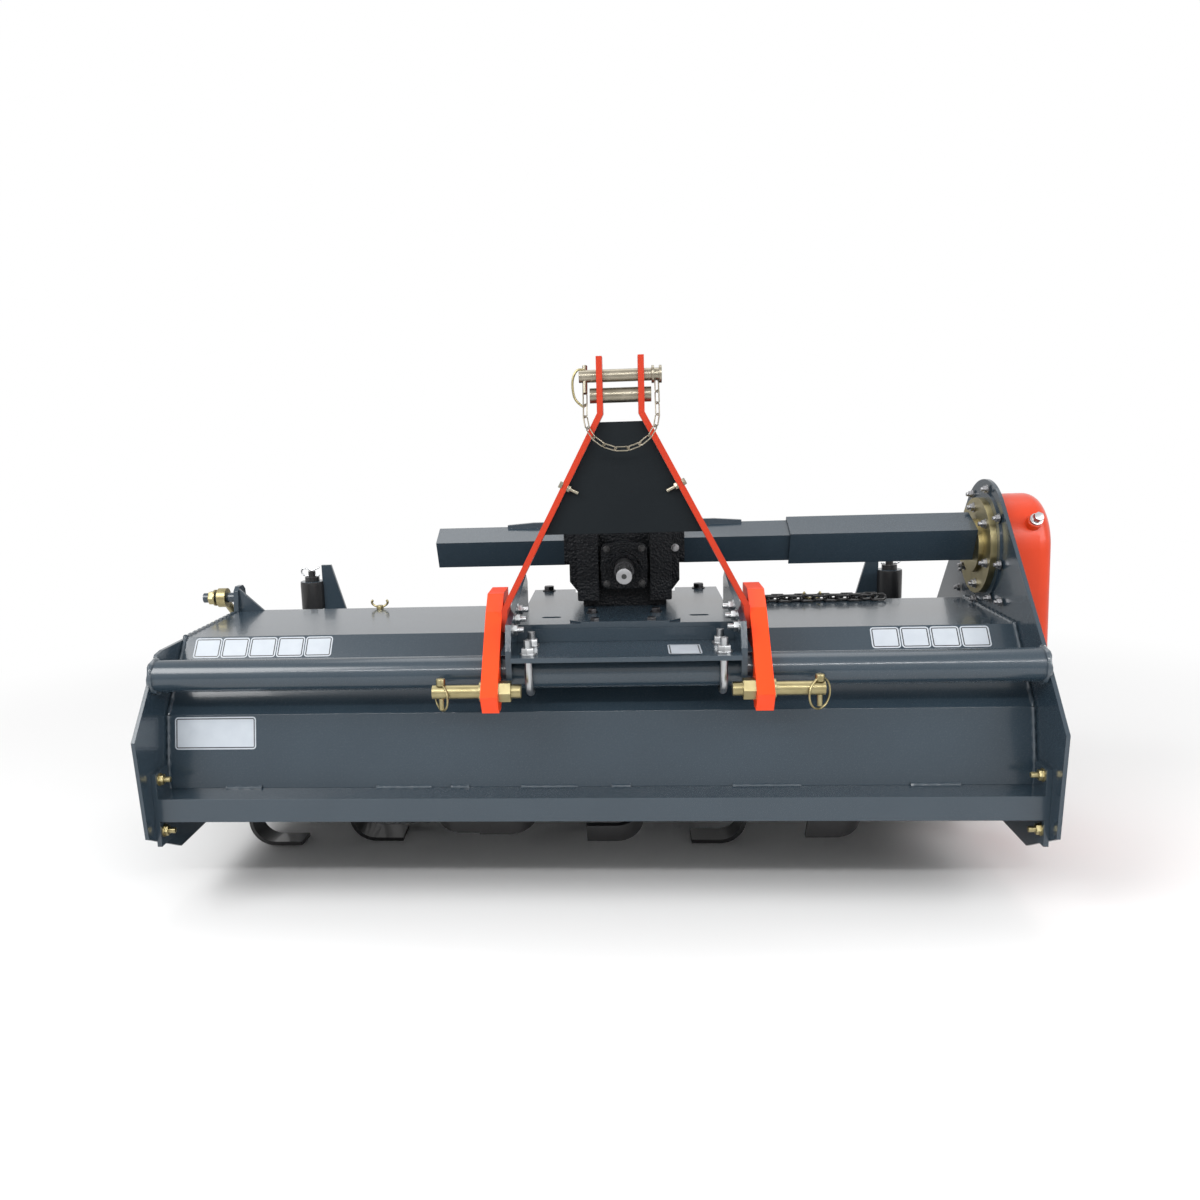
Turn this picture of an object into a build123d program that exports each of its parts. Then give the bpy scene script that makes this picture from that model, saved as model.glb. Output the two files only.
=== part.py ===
"""A tractor-mounted stone burier: rotor hood, offset three-point hitch, bevel gearbox and rear roller.

Lengths are in millimetres. X runs across the machine, to the right as seen from the tractor. Depths run
back from the front tips of the side plates and heights run up from the floor. The machine stands on its
rotor's tines and its roller, as it does on a hard floor.
"""
import os
from math import acos, atan2, cos, hypot, radians, sin, sqrt

from build123d import *

os.makedirs("parts", exist_ok=True)

# Fits, and how far a cut runs past the faces that it passes
SEAT = 0.3
RUN = 0.5
THROUGH = 1.0

# Rotor, which sets the height of the deck and the depth of the rear end
ROTOR_DEPTH = 490.0
TIP_R = 235.0
ROTOR_H = TIP_R
ROTOR_TUBE_R = 45.0
ROTOR_DISCS = 8
DISC_R = 105.0
DISC_T = 10.0
TINE_T = 9.0
TINE_WIDE = 70.0
TINE_FOOT = 132.0
TINE_BEND_R = 64.0
TINE_LAP = 45.0
TINES_PER_DISC = 4
JOURNAL_R = 25.0
BEARING_R = 72.0
BEARING_T = 22.0
HOOD_ROOM = 102.0

# Side plates
PLATE_X = 920.0
PLATE_T = 8.0
INNER_X = PLATE_X - PLATE_T
ROTOR_END_X = INNER_X - 40.0
DECK_H = 2 * TIP_R + HOOD_ROOM
SKID_H = 120.0
TIP_H = SKID_H + 290.0
TOE_DEPTH = 20.0
TOE_H = SKID_H + 75.0
RAMP_DEPTH = 167.0
SHOULDER_DEPTH = 140.0
SHOULDER_H = DECK_H - 9.0
SHOULDER_RUN = 28.0
EDGE_DROP = 5.0
HEEL_DEPTH = ROTOR_DEPTH + 310.0

# Hood sheet, front bar and beams
HOOD_T = 6.0
DECK_FRONT = 277.0
DECK_REAR = ROTOR_DEPTH + 122.0
BEND_DEPTH = 155.0
BEND_H = DECK_H - 148.0
BAR_FRONT = 55.0
BAR_DEPTH = 75.0
BAR_TALL = 50.0
BAR_H = SKID_H + 100.0
BAR_WALL = 5.0
BAR_FLANGE = (10.0, 62.0, 160.0)
TUBE_DEPTH = 114.0
TUBE_H = DECK_H - 50.0
TUBE_R = 34.0
TUBE_WALL = 6.0

# Stone grid and the beam that carries it
GRID_R = 274.0
GRID_WIDE = 28.0
GRID_T = 10.0
GRID_PITCH = 50.0
GRID_SWEEP = 48.0
GRID_BENDS = 4
GRID_TIE_R = 9.0
GRID_TIE_H = ROTOR_H + 60.0
GRID_KNEE_H = ROTOR_H + 115.0
REAR_BEAM = 60.0
REAR_BEAM_WALL = 5.0
REAR_BEAM_DEPTH = ROTOR_DEPTH + GRID_R + 31.0
REAR_BEAM_H = DECK_H - 157.0
BEAM_REAR = REAR_BEAM_DEPTH + REAR_BEAM
REAR_DEPTH = BEAM_REAR + 23.0
REAR_LOW_H = SKID_H + 155.0
REAR_TOP_H = REAR_BEAM_H + REAR_BEAM + 20.0
TOP_REAR_DEPTH = DECK_REAR + 43.0

# Drive line
DRIVE_DEPTH = ROTOR_DEPTH + 18.0
DRIVE_H = DECK_H + 140.0
SHAFT_H = DRIVE_H + 22.0
DRIVE_PLATE_R = 152.0
RING_R = 126.0
RING_T = 4.0
FLANGE_R = 110.0
FLANGE_T = 14.0
HUB_R = 62.0
HUB_T = 10.0
GUARD_TURN = 25.0
GUARD_SIDE = 68.0
GUARD_LEFT_X = -359.0
GUARD_RIGHT_X = INNER_X - 207.0
COVER_SIDE = 80.0
COVER_LAP = 239.0
COVER_WALL = 4.0
SADDLE_BLOCK = 40.0
BLOCK_SET = 60.0
FIN_LONG = 137.0
FIN_FLAT = 75.0
FIN_TALL = 9.0
FIN_T = 16.0
CASE_R = 118.0
CASE_T = 110.0
CASE_ROUND = 34.0

# Levelling board and its guides
POST_X = INNER_X - 117.0
POST_DEPTH = BEAM_REAR + 31.0
POST_R = 10.0
POST_TOP_H = DECK_H + 60.0
SLEEVE_R = 32.0
SLEEVE_LOW_H = DECK_H - 46.0
SLEEVE_TALL = 78.0
GUSSET_T = 10.0
GUSSET_LAP = 2.0
GUSSET_TOP_H = DECK_H + 77.0
GUSSET_TOP_WIDE = 27.0
GUSSET_FOOT_WIDE = 76.0
COLLAR_R = 20.0
COLLAR_T = 12.0
BOARD_X = INNER_X - 27.0
BOARD_T = 8.0
BOARD_LOW_H = 60.0
BOARD_TALL = 150.0
BOARD_LIP = 45.0

# Roller, its arms and adjusters
ROLLER_R = 160.0
ROLLER_DEPTH = POST_DEPTH + ROLLER_R + 84.0
ROLLER_X = PLATE_X - 20.0
ROLLER_BARS = 12
ROLLER_BAR_T = 10.0
ROLLER_BAR_WIDE = 34.0
ROLLER_DISCS = 5
ROLLER_DISC_T = 8.0
ROLLER_OVERHANG = 30.0
ROLLER_TUBE_R = 44.0
ROLLER_STUB_R = 20.0
ARM_GAP = 6.0
ARM_T = 12.0
ARM_PIVOT = (HEEL_DEPTH - 20.0, SKID_H + 185.0)
ARM_PIVOT_R = 42.0
ARM_PIN = (ROLLER_DEPTH - 120.0, ROLLER_R + 140.0)
ARM_PIN_R = 40.0
ARM_HUB_R = 62.0
PIVOT_R = 15.0
PIVOT_COLLAR = 15.0
PIVOT_HEAD = 14.0
LINK_PIN_R = 12.5
LINK_EYE_R = 24.5
LINK_EYE_T = 22.0
LINK_ROD_R = 10.0
LINK_BODY_R = 18.0
LINK_BODY = 190.0
LINK_X = PLATE_X + ARM_GAP + ARM_T + SEAT + LINK_EYE_T / 2
LEFT_LUG = (DECK_REAR + 8.0, DECK_H + 33.0)
RIGHT_LUG = (DRIVE_DEPTH + 207.0, DECK_H + 13.0)
LUG_T = 12.0
LUG_FOOT = 34.0
LUG_TOP = 26.0
LUG_EDGE = 7.0
LUG_CREST = 18.0
LUG_COLLAR = 10.0
LUG_RIB_T = 8.0
LUG_RIB_LONG = 62.0
PIN_END_X = PLATE_X + 80.0
OVERALL_X = PLATE_X + CASE_T

# Hitch: heights go by the round beam
HITCH_X = 84.0
ARM_IN = 252.0
HITCH_ARM_T = 34.0
CHEEK_T = 12.0
CHEEK_FRONT = 60.0
CHEEK_REAR = 455.0
CHEEK_FOOT_H = TUBE_H - 10.0
CHEEK_NECK_H = TUBE_H + 104.0
CHEEK_TOP_H = TUBE_H + 155.0
CHEEK_CORNER = (30.0, 20.0)
CHEEK_HEEL = (30.0, 12.0)
CHEEK_WRAP = 16.0
SADDLE_FRONT = 40.0
SADDLE_REAR = 232.0
SADDLE_T = 10.0
CROSS_DEEP = 40.0
CROSS_TALL = 28.0
BASE_T = 10.0
BASE_REAR = DRIVE_DEPTH + 142.0
BASE_NOTCH = 50.0
BASE_NOTCH_HALF = 125.0
BASE_FOOT = 50.0
PAD_T = 4.0
PAD_HALF = 117.0
PAD_CORNER = 24.0
SLOT_LONG = 42.0
SLOT_WIDE = 16.0
SLOT_X = 160.0
SLOT_DEPTH = 272.0
UBOLT_X = 195.0
UBOLT_R = 8.0
UBOLT_SIDES = 12
UBOLT_RISE = 40.0
UBOLT_GAP = 1.0
LOWER_PIN = (38.0, TUBE_H - 22.0)
LOWER_PIN_R = 14.0
LOWER_PIN_END = 386.0
LOWER_COLLAR_R = 20.0
LOWER_COLLAR = 5.0
LOWER_NUT_R = 22.0
LOWER_NUT = 24.0
LOWER_THREAD = 20.0
ARM_NOSE = 38.0
ARM_NOSE_DROP = 3.0
ARM_CHIN = 41.0
ARM_CHIN_FRONT = 14.0
ARM_CHIN_REAR = 20.0
ARM_KNEE = (136.0, TUBE_H + 121.0)
ARM_CREST = 176.0
ARM_REAR = 262.0
ARM_TOP_H = TUBE_H + 153.0
ARM_HEEL = 25.0
HOOK_GAP = 3.0
HOOK_RISE = 8.0
HOOK_CROWN = (20.0, 12.0)
HOOK_REAR = (12.0, 15.0)
STRAP_T = 12.0
STRAP_FRONT = 126.0
STRAP_DEEP = 64.0
STRAP_FOOT_H = CHEEK_NECK_H + 20.0
STRAP_LOW_H = TUBE_H + 80.0
EAR_IN = 35.0
EAR_TALL = 113.0
EAR_TOP_H = TUBE_H + 628.0
EAR_BEND_H = EAR_TOP_H - EAR_TALL
TOP_PIN_SHARE = 0.33
TOP_PIN = (STRAP_FRONT + STRAP_DEEP / 2, EAR_TOP_H - TOP_PIN_SHARE * EAR_TALL)
TOP_PIN_R = 12.5
TOP_PIN_HALF = 82.0
HEAD_FLANGE_R = 17.5
HEAD_FLANGE_T = 5.0
HEAD_GROOVE = 10.0
HEAD_EYE_SET = 10.0
LINCH_R = 5.0
LINCH_SET = 12.0
LINCH_RISE = 10.0
SPACER_SHARE = 0.67
SPACER_H = EAR_TOP_H - SPACER_SHARE * EAR_TALL
SPACER_R = 15.0
SPACER_LAP = 14.0
SHIELD_T = 4.0
SHIELD_SET = 14.0
SHIELD_TOP = 0.038
SHIELD_LOW = 0.607

# Gearbox and power take-off
GEAR_HALF = 140.0
GEAR_BODY_HALF = 124.0
GEAR_FOOT_HALF = 94.0
GEAR_FRONT = DRIVE_DEPTH - 163.0
GEAR_REAR = DRIVE_DEPTH + 92.0
GEAR_TALL = 92.0
GEAR_SHOULDER = 26.0
GEAR_KNEE_H = DRIVE_H - 47.0
GEAR_RECESS = 36.0
COLUMN_IN = 57.0
COLUMN_OUT = 105.0
COLUMN_LOW = 18.0
BOSS_DEEP = 98.0
BOSS_TALL = 84.0
NOSE_R = 54.0
NOSE_FRONT = GEAR_FRONT + 4.0
SEAL_R = 30.0
SEAL_LONG = 24.0
PTO_H = DRIVE_H - 8.0
PTO_FRONT = GEAR_FRONT - 160.0
PTO_R = 17.45
PTO_ROOT_R = 14.8
PTO_SPLINES = 6
PTO_SPLINE_GAP = 9.0
PTO_SPLINE_LONG = 78.0
PTO_SHAFT_R = 21.0
PTO_DEEP = 40.0

# Chains: wire radius, width and count of links. The safety chain hangs straight from the head's eye,
# rounds a half circle and rises to the linch pin, in a plane that leans forward past the straps
LINK_CORNER = 0.6
PIN_CHAIN_WIRE = 1.4
PIN_CHAIN_WIDE = 13.0
PIN_CHAIN_DROP = 2
PIN_CHAIN_BEND = 9
PIN_CHAIN_RISE = 1
PIN_CHAIN_LEAN = 24.0
DECK_CHAIN_PITCH = 28.0
DECK_CHAIN_WIRE = 3.0
DECK_CHAIN_WIDE = 22.0
DECK_CHAIN_LINKS = 11
DECK_CHAIN_ROWS = 2
DECK_CHAIN_X = 402.0

# The bounding box is centred on the origin
Y_MID = (ROLLER_DEPTH + ROLLER_R) / 2


def side(x=0.0):
    """The plane X = x, whose local axes are depth and height and whose normal is +X."""
    return Plane(origin=(x, -Y_MID, 0), x_dir=(0, 1, 0), z_dir=(1, 0, 0))


def front(depth):
    """The upright plane at a depth, whose local axes are -X and height and whose normal points rearward."""
    return Plane(origin=(0, depth - Y_MID, 0), x_dir=(-1, 0, 0), z_dir=(0, 1, 0))


def finish(piece, name):
    """Label a finished piece and write its STEP file."""
    piece.part.label = name
    export_step(piece.part, f"parts/{name}.step")


def plate(name, outline, x, thick, holes=()):
    """Write a flat plate across X; holes are (depth, height, radius)."""
    with BuildPart() as piece:
        with BuildSketch(side(x)):
            with BuildLine():
                Polyline(*outline, close=True)
            make_face()
            for depth, height, radius in holes:
                with Locations((depth, height)):
                    Circle(radius, mode=Mode.SUBTRACT)
        extrude(amount=thick)
    finish(piece, name)


def tangent_point(point, centre, radius, sign):
    """The point where a line from a point touches a circle."""
    run = point[0] - centre[0]
    rise = point[1] - centre[1]
    turn = atan2(rise, run) + sign * acos(radius / hypot(run, rise))
    return centre[0] + radius * cos(turn), centre[1] + radius * sin(turn)


def chain_link(place, along, turn, pitch, wire, wide):
    """Add one link of six-sided wire to the part being built, turned about its length."""
    across = Vector(along).cross(Vector(0, 1, 0))
    level_plane = Plane(origin=place, x_dir=along, z_dir=across)
    link_plane = Plane(level_plane.location * Rotation(turn, 0, 0))
    half_long = (pitch + SEAT) / 2 + wire
    half_wide = wide / 2 - wire
    corner = LINK_CORNER * half_wide
    with BuildLine(link_plane) as loop:
        Polyline(
            (0, -half_wide),
            (half_long - corner, -half_wide),
            (half_long, -half_wide + corner),
            (half_long, half_wide - corner),
            (half_long - corner, half_wide),
            (-half_long + corner, half_wide),
            (-half_long, half_wide - corner),
            (-half_long, -half_wide + corner),
            (-half_long + corner, -half_wide),
            close=True,
        )
    with BuildSketch(Plane(origin=loop.line @ 0, z_dir=loop.line % 0)) as section:
        RegularPolygon(wire, 6)
    sweep(sections=section.sketch, path=loop.line, transition=Transition.RIGHT)


# Side plates: the right one rises to carry the drive and has a ring round its flange
lower_outline = [
    (REAR_DEPTH, REAR_LOW_H),
    (HEEL_DEPTH, SKID_H),
    (RAMP_DEPTH, SKID_H),
    (TOE_DEPTH, TOE_H),
    (0, TIP_H),
    (SHOULDER_DEPTH, SHOULDER_H),
]
left_top = [
    (SHOULDER_DEPTH + SHOULDER_RUN, DECK_H - EDGE_DROP),
    (TOP_REAR_DEPTH, DECK_H - EDGE_DROP),
    (REAR_DEPTH, REAR_TOP_H),
]
plate("side_plate_left", lower_outline + left_top, -PLATE_X, PLATE_T)

drive_centre = (DRIVE_DEPTH, DRIVE_H)
with BuildPart() as side_plate_right:
    with BuildSketch(side(INNER_X)):
        with BuildLine():
            Polyline(
                *lower_outline,
                tangent_point((SHOULDER_DEPTH, SHOULDER_H), drive_centre, DRIVE_PLATE_R, -1),
                drive_centre,
                tangent_point((REAR_DEPTH, REAR_TOP_H), drive_centre, DRIVE_PLATE_R, 1),
                (REAR_DEPTH, REAR_TOP_H),
                close=True,
            )
        make_face()
        with Locations(drive_centre):
            Circle(DRIVE_PLATE_R)
    extrude(amount=PLATE_T)
    with BuildSketch(side(INNER_X)):
        with Locations(drive_centre):
            Circle(RING_R)
    extrude(amount=-RING_T)
finish(side_plate_right, "side_plate_right")

# Hood: one folded sheet from the front bar to the rear beam
with BuildPart() as hood:
    with BuildSketch(side(-INNER_X)):
        with BuildLine():
            Polyline(
                (BAR_FRONT + BAR_DEPTH - HOOD_T, BAR_H + BAR_TALL),
                (BEND_DEPTH, BEND_H),
                (DECK_FRONT, DECK_H),
                (DECK_REAR, DECK_H),
                (REAR_BEAM_DEPTH, REAR_BEAM_H + REAR_BEAM),
            )
            offset(amount=HOOD_T, side=Side.RIGHT, kind=Kind.INTERSECTION)
        make_face()
    extrude(amount=2 * INNER_X)
    split(bisect_by=Plane(origin=(0, 0, BAR_H + BAR_TALL), z_dir=(0, 0, 1)), keep=Keep.TOP)
    split(bisect_by=Plane(origin=(0, REAR_BEAM_DEPTH - Y_MID, 0), z_dir=(0, -1, 0)), keep=Keep.TOP)
finish(hood, "hood")

# Front bar: a box tube with bolted end flanges
with BuildPart() as front_bar:
    with BuildSketch(side(-INNER_X)):
        with Locations((BAR_FRONT + BAR_DEPTH / 2, BAR_H + BAR_TALL / 2)):
            Rectangle(BAR_DEPTH, BAR_TALL)
            Rectangle(BAR_DEPTH - 2 * BAR_WALL, BAR_TALL - 2 * BAR_WALL, mode=Mode.SUBTRACT)
    extrude(amount=2 * INNER_X)
    flange_y = BAR_FRONT + BAR_FLANGE[1] / 2 - Y_MID
    for end in (-1, 1):
        with Locations((end * (INNER_X - BAR_FLANGE[0] / 2), flange_y, BAR_H + BAR_TALL / 2)):
            Box(*BAR_FLANGE)
finish(front_bar, "front_bar")

# Round beam that carries the hitch, and the square beam at the hood's rear edge
with BuildPart() as round_beam:
    with BuildSketch(side(-INNER_X)):
        with Locations((TUBE_DEPTH, TUBE_H)):
            Circle(TUBE_R)
            Circle(TUBE_R - TUBE_WALL, mode=Mode.SUBTRACT)
    extrude(amount=2 * INNER_X)
finish(round_beam, "round_beam")

with BuildPart() as rear_beam:
    with BuildSketch(side(-INNER_X)):
        with Locations((REAR_BEAM_DEPTH + REAR_BEAM / 2, REAR_BEAM_H + REAR_BEAM / 2)):
            RectangleRounded(REAR_BEAM, REAR_BEAM, REAR_BEAM_WALL)
            inner_side = REAR_BEAM - 2 * REAR_BEAM_WALL
            Rectangle(inner_side, inner_side, mode=Mode.SUBTRACT)
    extrude(amount=2 * INNER_X)
finish(rear_beam, "rear_beam")

# Stone grid: press-bent fingers behind the rotor, hung from the rear beam and tied by a rod
with BuildPart() as stone_grid:
    grid_in = ROTOR_DEPTH + GRID_R
    beam_middle = REAR_BEAM_DEPTH + (REAR_BEAM - GRID_WIDE) / 2
    finger_edges = []
    for edge in (0, GRID_WIDE):
        finger_edge = [(beam_middle + edge, REAR_BEAM_H), (grid_in + edge, GRID_KNEE_H)]
        for bend in range(GRID_BENDS + 1):
            down = radians(bend * GRID_SWEEP / GRID_BENDS)
            reach = GRID_R + edge
            finger_edge.append((ROTOR_DEPTH + reach * cos(down), ROTOR_H - reach * sin(down)))
        finger_edges.append(finger_edge)
    grid_half = GRID_PITCH * int((INNER_X - BEARING_T) / GRID_PITCH)
    finger_count = int(2 * grid_half / GRID_PITCH) + 1
    for number in range(finger_count):
        with BuildSketch(side(number * GRID_PITCH - grid_half - GRID_T / 2)):
            with BuildLine():
                Polyline(*finger_edges[0], *reversed(finger_edges[1]), close=True)
            make_face()
        extrude(amount=GRID_T)
    with BuildSketch(side(-grid_half)):
        with Locations((grid_in + GRID_WIDE / 2, GRID_TIE_H)):
            Circle(GRID_TIE_R)
    extrude(amount=2 * grid_half)
finish(stone_grid, "stone_grid")

# Guides for the levelling board's posts: a tapered gusset, a foot on the rear beam and a sleeve
for name, end in (("post_guide_left", -1), ("post_guide_right", 1)):
    edge_x = end * (POST_X - SLEEVE_R + GUSSET_LAP)
    gusset_front = POST_DEPTH - GUSSET_T / 2
    foot_deep = gusset_front - BEAM_REAR
    foot_x = edge_x - end * GUSSET_FOOT_WIDE / 2
    with BuildPart() as post_guide:
        with BuildSketch(front(gusset_front)):
            with BuildLine():
                Polyline(
                    (-edge_x, REAR_BEAM_H),
                    (-edge_x, GUSSET_TOP_H),
                    (-edge_x + end * GUSSET_TOP_WIDE, GUSSET_TOP_H),
                    (-edge_x + end * GUSSET_FOOT_WIDE, REAR_BEAM_H + REAR_BEAM),
                    (-edge_x + end * GUSSET_FOOT_WIDE, REAR_BEAM_H),
                    close=True,
                )
            make_face()
        extrude(amount=GUSSET_T)
        with Locations((foot_x, BEAM_REAR + foot_deep / 2 - Y_MID, REAR_BEAM_H + REAR_BEAM / 2)):
            Box(GUSSET_FOOT_WIDE, foot_deep, REAR_BEAM)
        with BuildSketch(Plane.XY.offset(SLEEVE_LOW_H)):
            with Locations((end * POST_X, POST_DEPTH - Y_MID)):
                Circle(SLEEVE_R)
        extrude(amount=SLEEVE_TALL)
        with BuildSketch(Plane.XY.offset(REAR_BEAM_H - THROUGH)):
            with Locations((end * POST_X, POST_DEPTH - Y_MID)):
                Circle(POST_R + RUN)
        extrude(amount=GUSSET_TOP_H - REAR_BEAM_H + 2 * THROUGH, mode=Mode.SUBTRACT)
    finish(post_guide, name)

# Levelling board behind the grid, and the two posts that slide in the guides
with BuildPart() as levelling_board:
    board_front = POST_DEPTH - BOARD_T / 2
    with BuildSketch(side(-BOARD_X)):
        with BuildLine():
            Polyline(
                (board_front - BOARD_LIP, BOARD_LOW_H),
                (board_front, BOARD_LOW_H + BOARD_LIP),
                (board_front, BOARD_LOW_H + BOARD_TALL),
            )
            offset(amount=BOARD_T, side=Side.RIGHT, kind=Kind.INTERSECTION)
        make_face()
    extrude(amount=2 * BOARD_X)
finish(levelling_board, "levelling_board")

upward = (Align.CENTER, Align.CENTER, Align.MIN)
for name, end in (("levelling_post_left", -1), ("levelling_post_right", 1)):
    post_low = BOARD_LOW_H + BOARD_TALL
    with BuildPart() as levelling_post:
        with Locations((end * POST_X, POST_DEPTH - Y_MID, post_low)):
            Cylinder(POST_R, POST_TOP_H - post_low, align=upward)
        with Locations((end * POST_X, POST_DEPTH - Y_MID, SLEEVE_LOW_H + SLEEVE_TALL + SEAT)):
            Cylinder(COLLAR_R, COLLAR_T, align=upward)
    finish(levelling_post, name)

# Rotor: tube, journals and discs with bent tines bolted to them. The table gives, for each disc, how far
# its lowest tine lies behind the bottom in degrees and the side to which the foot of that tine points;
# end discs have no tines on their outer face.
tine_phases = [(-4, 1), (6, 1), (-62, 1), (-60, -1), (-51, -1), (1, -1), (-56, -1), (35, -1)]
foot_drop = sqrt(TIP_R**2 - (TINE_WIDE / 2) ** 2)
disc_pitch = (2 * ROTOR_END_X - DISC_T) / (ROTOR_DISCS - 1)
disc_places = [-ROTOR_END_X + number * disc_pitch for number in range(ROTOR_DISCS)]
with BuildPart() as rotor:
    with BuildSketch(side(-ROTOR_END_X)):
        with Locations((ROTOR_DEPTH, ROTOR_H)):
            Circle(ROTOR_TUBE_R)
    extrude(amount=2 * ROTOR_END_X)
    with BuildSketch(side(-INNER_X + SEAT)):
        with Locations((ROTOR_DEPTH, ROTOR_H)):
            Circle(JOURNAL_R)
    extrude(amount=2 * (INNER_X - SEAT))
    for disc_x in disc_places:
        with BuildSketch(side(disc_x)):
            with Locations((ROTOR_DEPTH, ROTOR_H)):
                Circle(DISC_R)
        extrude(amount=DISC_T)
    for disc_x, (phase, low_side) in zip(disc_places, tine_phases):
        for number in range(TINES_PER_DISC):
            way = low_side if number % 2 == 0 else -low_side
            at_end = abs(disc_x + DISC_T / 2) > ROTOR_END_X - 2 * DISC_T
            if at_end and way * disc_x > 0:
                continue
            turn = radians(phase + number * 360 / TINES_PER_DISC)
            tine_plane = Plane(
                origin=(disc_x + (DISC_T if way > 0 else 0), ROTOR_DEPTH - Y_MID, ROTOR_H),
                x_dir=(way, 0, 0),
                z_dir=(0, cos(turn), sin(turn)),
            )
            with BuildSketch(tine_plane):
                with BuildLine():
                    FilletPolyline(
                        (0, way * (DISC_R - TINE_LAP)),
                        (0, way * foot_drop),
                        (TINE_FOOT, way * foot_drop),
                        radius=TINE_BEND_R,
                    )
                    offset(amount=TINE_T, side=Side.RIGHT if way > 0 else Side.LEFT, kind=Kind.INTERSECTION)
                make_face()
            extrude(amount=TINE_WIDE / 2, both=True)
finish(rotor, "rotor")

# Rotor bearings inside the side plates
with BuildPart() as rotor_bearings:
    for end in (-1, 1):
        with BuildSketch(side(end * INNER_X)):
            with Locations((ROTOR_DEPTH, ROTOR_H)):
                Circle(BEARING_R)
                Circle(JOURNAL_R + RUN, mode=Mode.SUBTRACT)
        extrude(amount=-end * BEARING_T)
finish(rotor_bearings, "rotor_bearings")

# Roller: a cage of flat bars let into discs
roller_centre = (ROLLER_DEPTH, ROLLER_R)
bar_edge = sqrt(ROLLER_R**2 - (ROLLER_BAR_T / 2) ** 2)
with BuildPart() as roller:
    with BuildSketch(side(-ROLLER_X)):
        with Locations(roller_centre):
            Circle(ROLLER_TUBE_R)
            with PolarLocations(bar_edge - ROLLER_BAR_WIDE / 2, ROLLER_BARS, start_angle=-90):
                Rectangle(ROLLER_BAR_WIDE, ROLLER_BAR_T)
    extrude(amount=2 * ROLLER_X)
    first_x = ROLLER_OVERHANG - ROLLER_X
    disc_step = (2 * ROLLER_X - 2 * ROLLER_OVERHANG - ROLLER_DISC_T) / (ROLLER_DISCS - 1)
    for number in range(ROLLER_DISCS):
        with BuildSketch(side(first_x + number * disc_step)):
            with Locations(roller_centre):
                Circle(bar_edge - ROLLER_BAR_WIDE / 2)
        extrude(amount=ROLLER_DISC_T)
    stub_end = PLATE_X + ARM_GAP + ARM_T
    with BuildSketch(side(-stub_end)):
        with Locations(roller_centre):
            Circle(ROLLER_STUB_R)
    extrude(amount=2 * stub_end)
finish(roller, "roller")

# Roller arms, with the pivot pin on the side plate and the pin for the adjuster's lower eye
arm_rows = (("roller_arm_left", -1, OVERALL_X), ("roller_arm_right", 1, PIN_END_X))
for name, end, pin_end in arm_rows:
    arm_in = PLATE_X + ARM_GAP
    with BuildPart() as roller_arm:
        with BuildSketch(side(end * arm_in)):
            for place, radius in ((ARM_PIVOT, ARM_PIVOT_R), (roller_centre, ARM_HUB_R), (ARM_PIN, ARM_PIN_R)):
                with Locations(place):
                    Circle(radius)
            make_hull()
            with Locations(roller_centre):
                Circle(ROLLER_STUB_R + RUN, mode=Mode.SUBTRACT)
        extrude(amount=end * ARM_T)
        for radius, length in ((PIVOT_R, ARM_GAP + ARM_T + PIVOT_HEAD), (PIVOT_R + PIVOT_COLLAR, ARM_GAP)):
            with BuildSketch(side(end * PLATE_X)):
                with Locations(ARM_PIVOT):
                    Circle(radius)
            extrude(amount=end * length)
        with BuildSketch(side(end * (arm_in + ARM_T))):
            with Locations(ARM_PIN):
                Circle(LINK_PIN_R)
        extrude(amount=end * (pin_end - arm_in - ARM_T))
    finish(roller_arm, name)

# Adjuster lugs: the left one stands on the deck, the right pin is welded to the drive plate
with BuildPart() as adjuster_lug_left:
    lug_depth, lug_h = LEFT_LUG
    with BuildSketch(side(-INNER_X)):
        with BuildLine():
            Polyline(
                (lug_depth - LUG_FOOT, DECK_H),
                (lug_depth - LUG_TOP, lug_h + LINK_PIN_R + LUG_EDGE),
                (lug_depth - LINK_PIN_R, lug_h + LINK_PIN_R + LUG_CREST),
                (lug_depth + LINK_PIN_R, lug_h + LINK_PIN_R + LUG_CREST),
                (lug_depth + LUG_TOP, lug_h + LINK_PIN_R + LUG_EDGE),
                (lug_depth + LUG_FOOT, DECK_H - 2 * HOOD_T),
                (DECK_REAR, DECK_H),
                close=True,
            )
        make_face()
    extrude(amount=LUG_T)
    with BuildSketch(front(lug_depth - LUG_TOP + HOOD_T)):
        with BuildLine():
            Polyline(
                (INNER_X - LUG_T, DECK_H),
                (INNER_X - LUG_T, lug_h + 2 * LINK_PIN_R),
                (INNER_X - LUG_T - LUG_RIB_LONG, DECK_H),
                close=True,
            )
        make_face()
    extrude(amount=LUG_RIB_T)
    with BuildSketch(side(-INNER_X)):
        with Locations(LEFT_LUG):
            Circle(LINK_PIN_R)
    extrude(amount=INNER_X - PIN_END_X)
finish(adjuster_lug_left, "adjuster_lug_left")

with BuildPart() as adjuster_lug_right:
    shoulder = LINK_X - LINK_EYE_T / 2 - SEAT - PLATE_X
    for radius, length in ((LINK_PIN_R + LUG_COLLAR, shoulder), (LINK_PIN_R, PIN_END_X - PLATE_X)):
        with BuildSketch(side(PLATE_X)):
            with Locations(RIGHT_LUG):
                Circle(radius)
        extrude(amount=length)
finish(adjuster_lug_right, "adjuster_lug_right")

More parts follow.
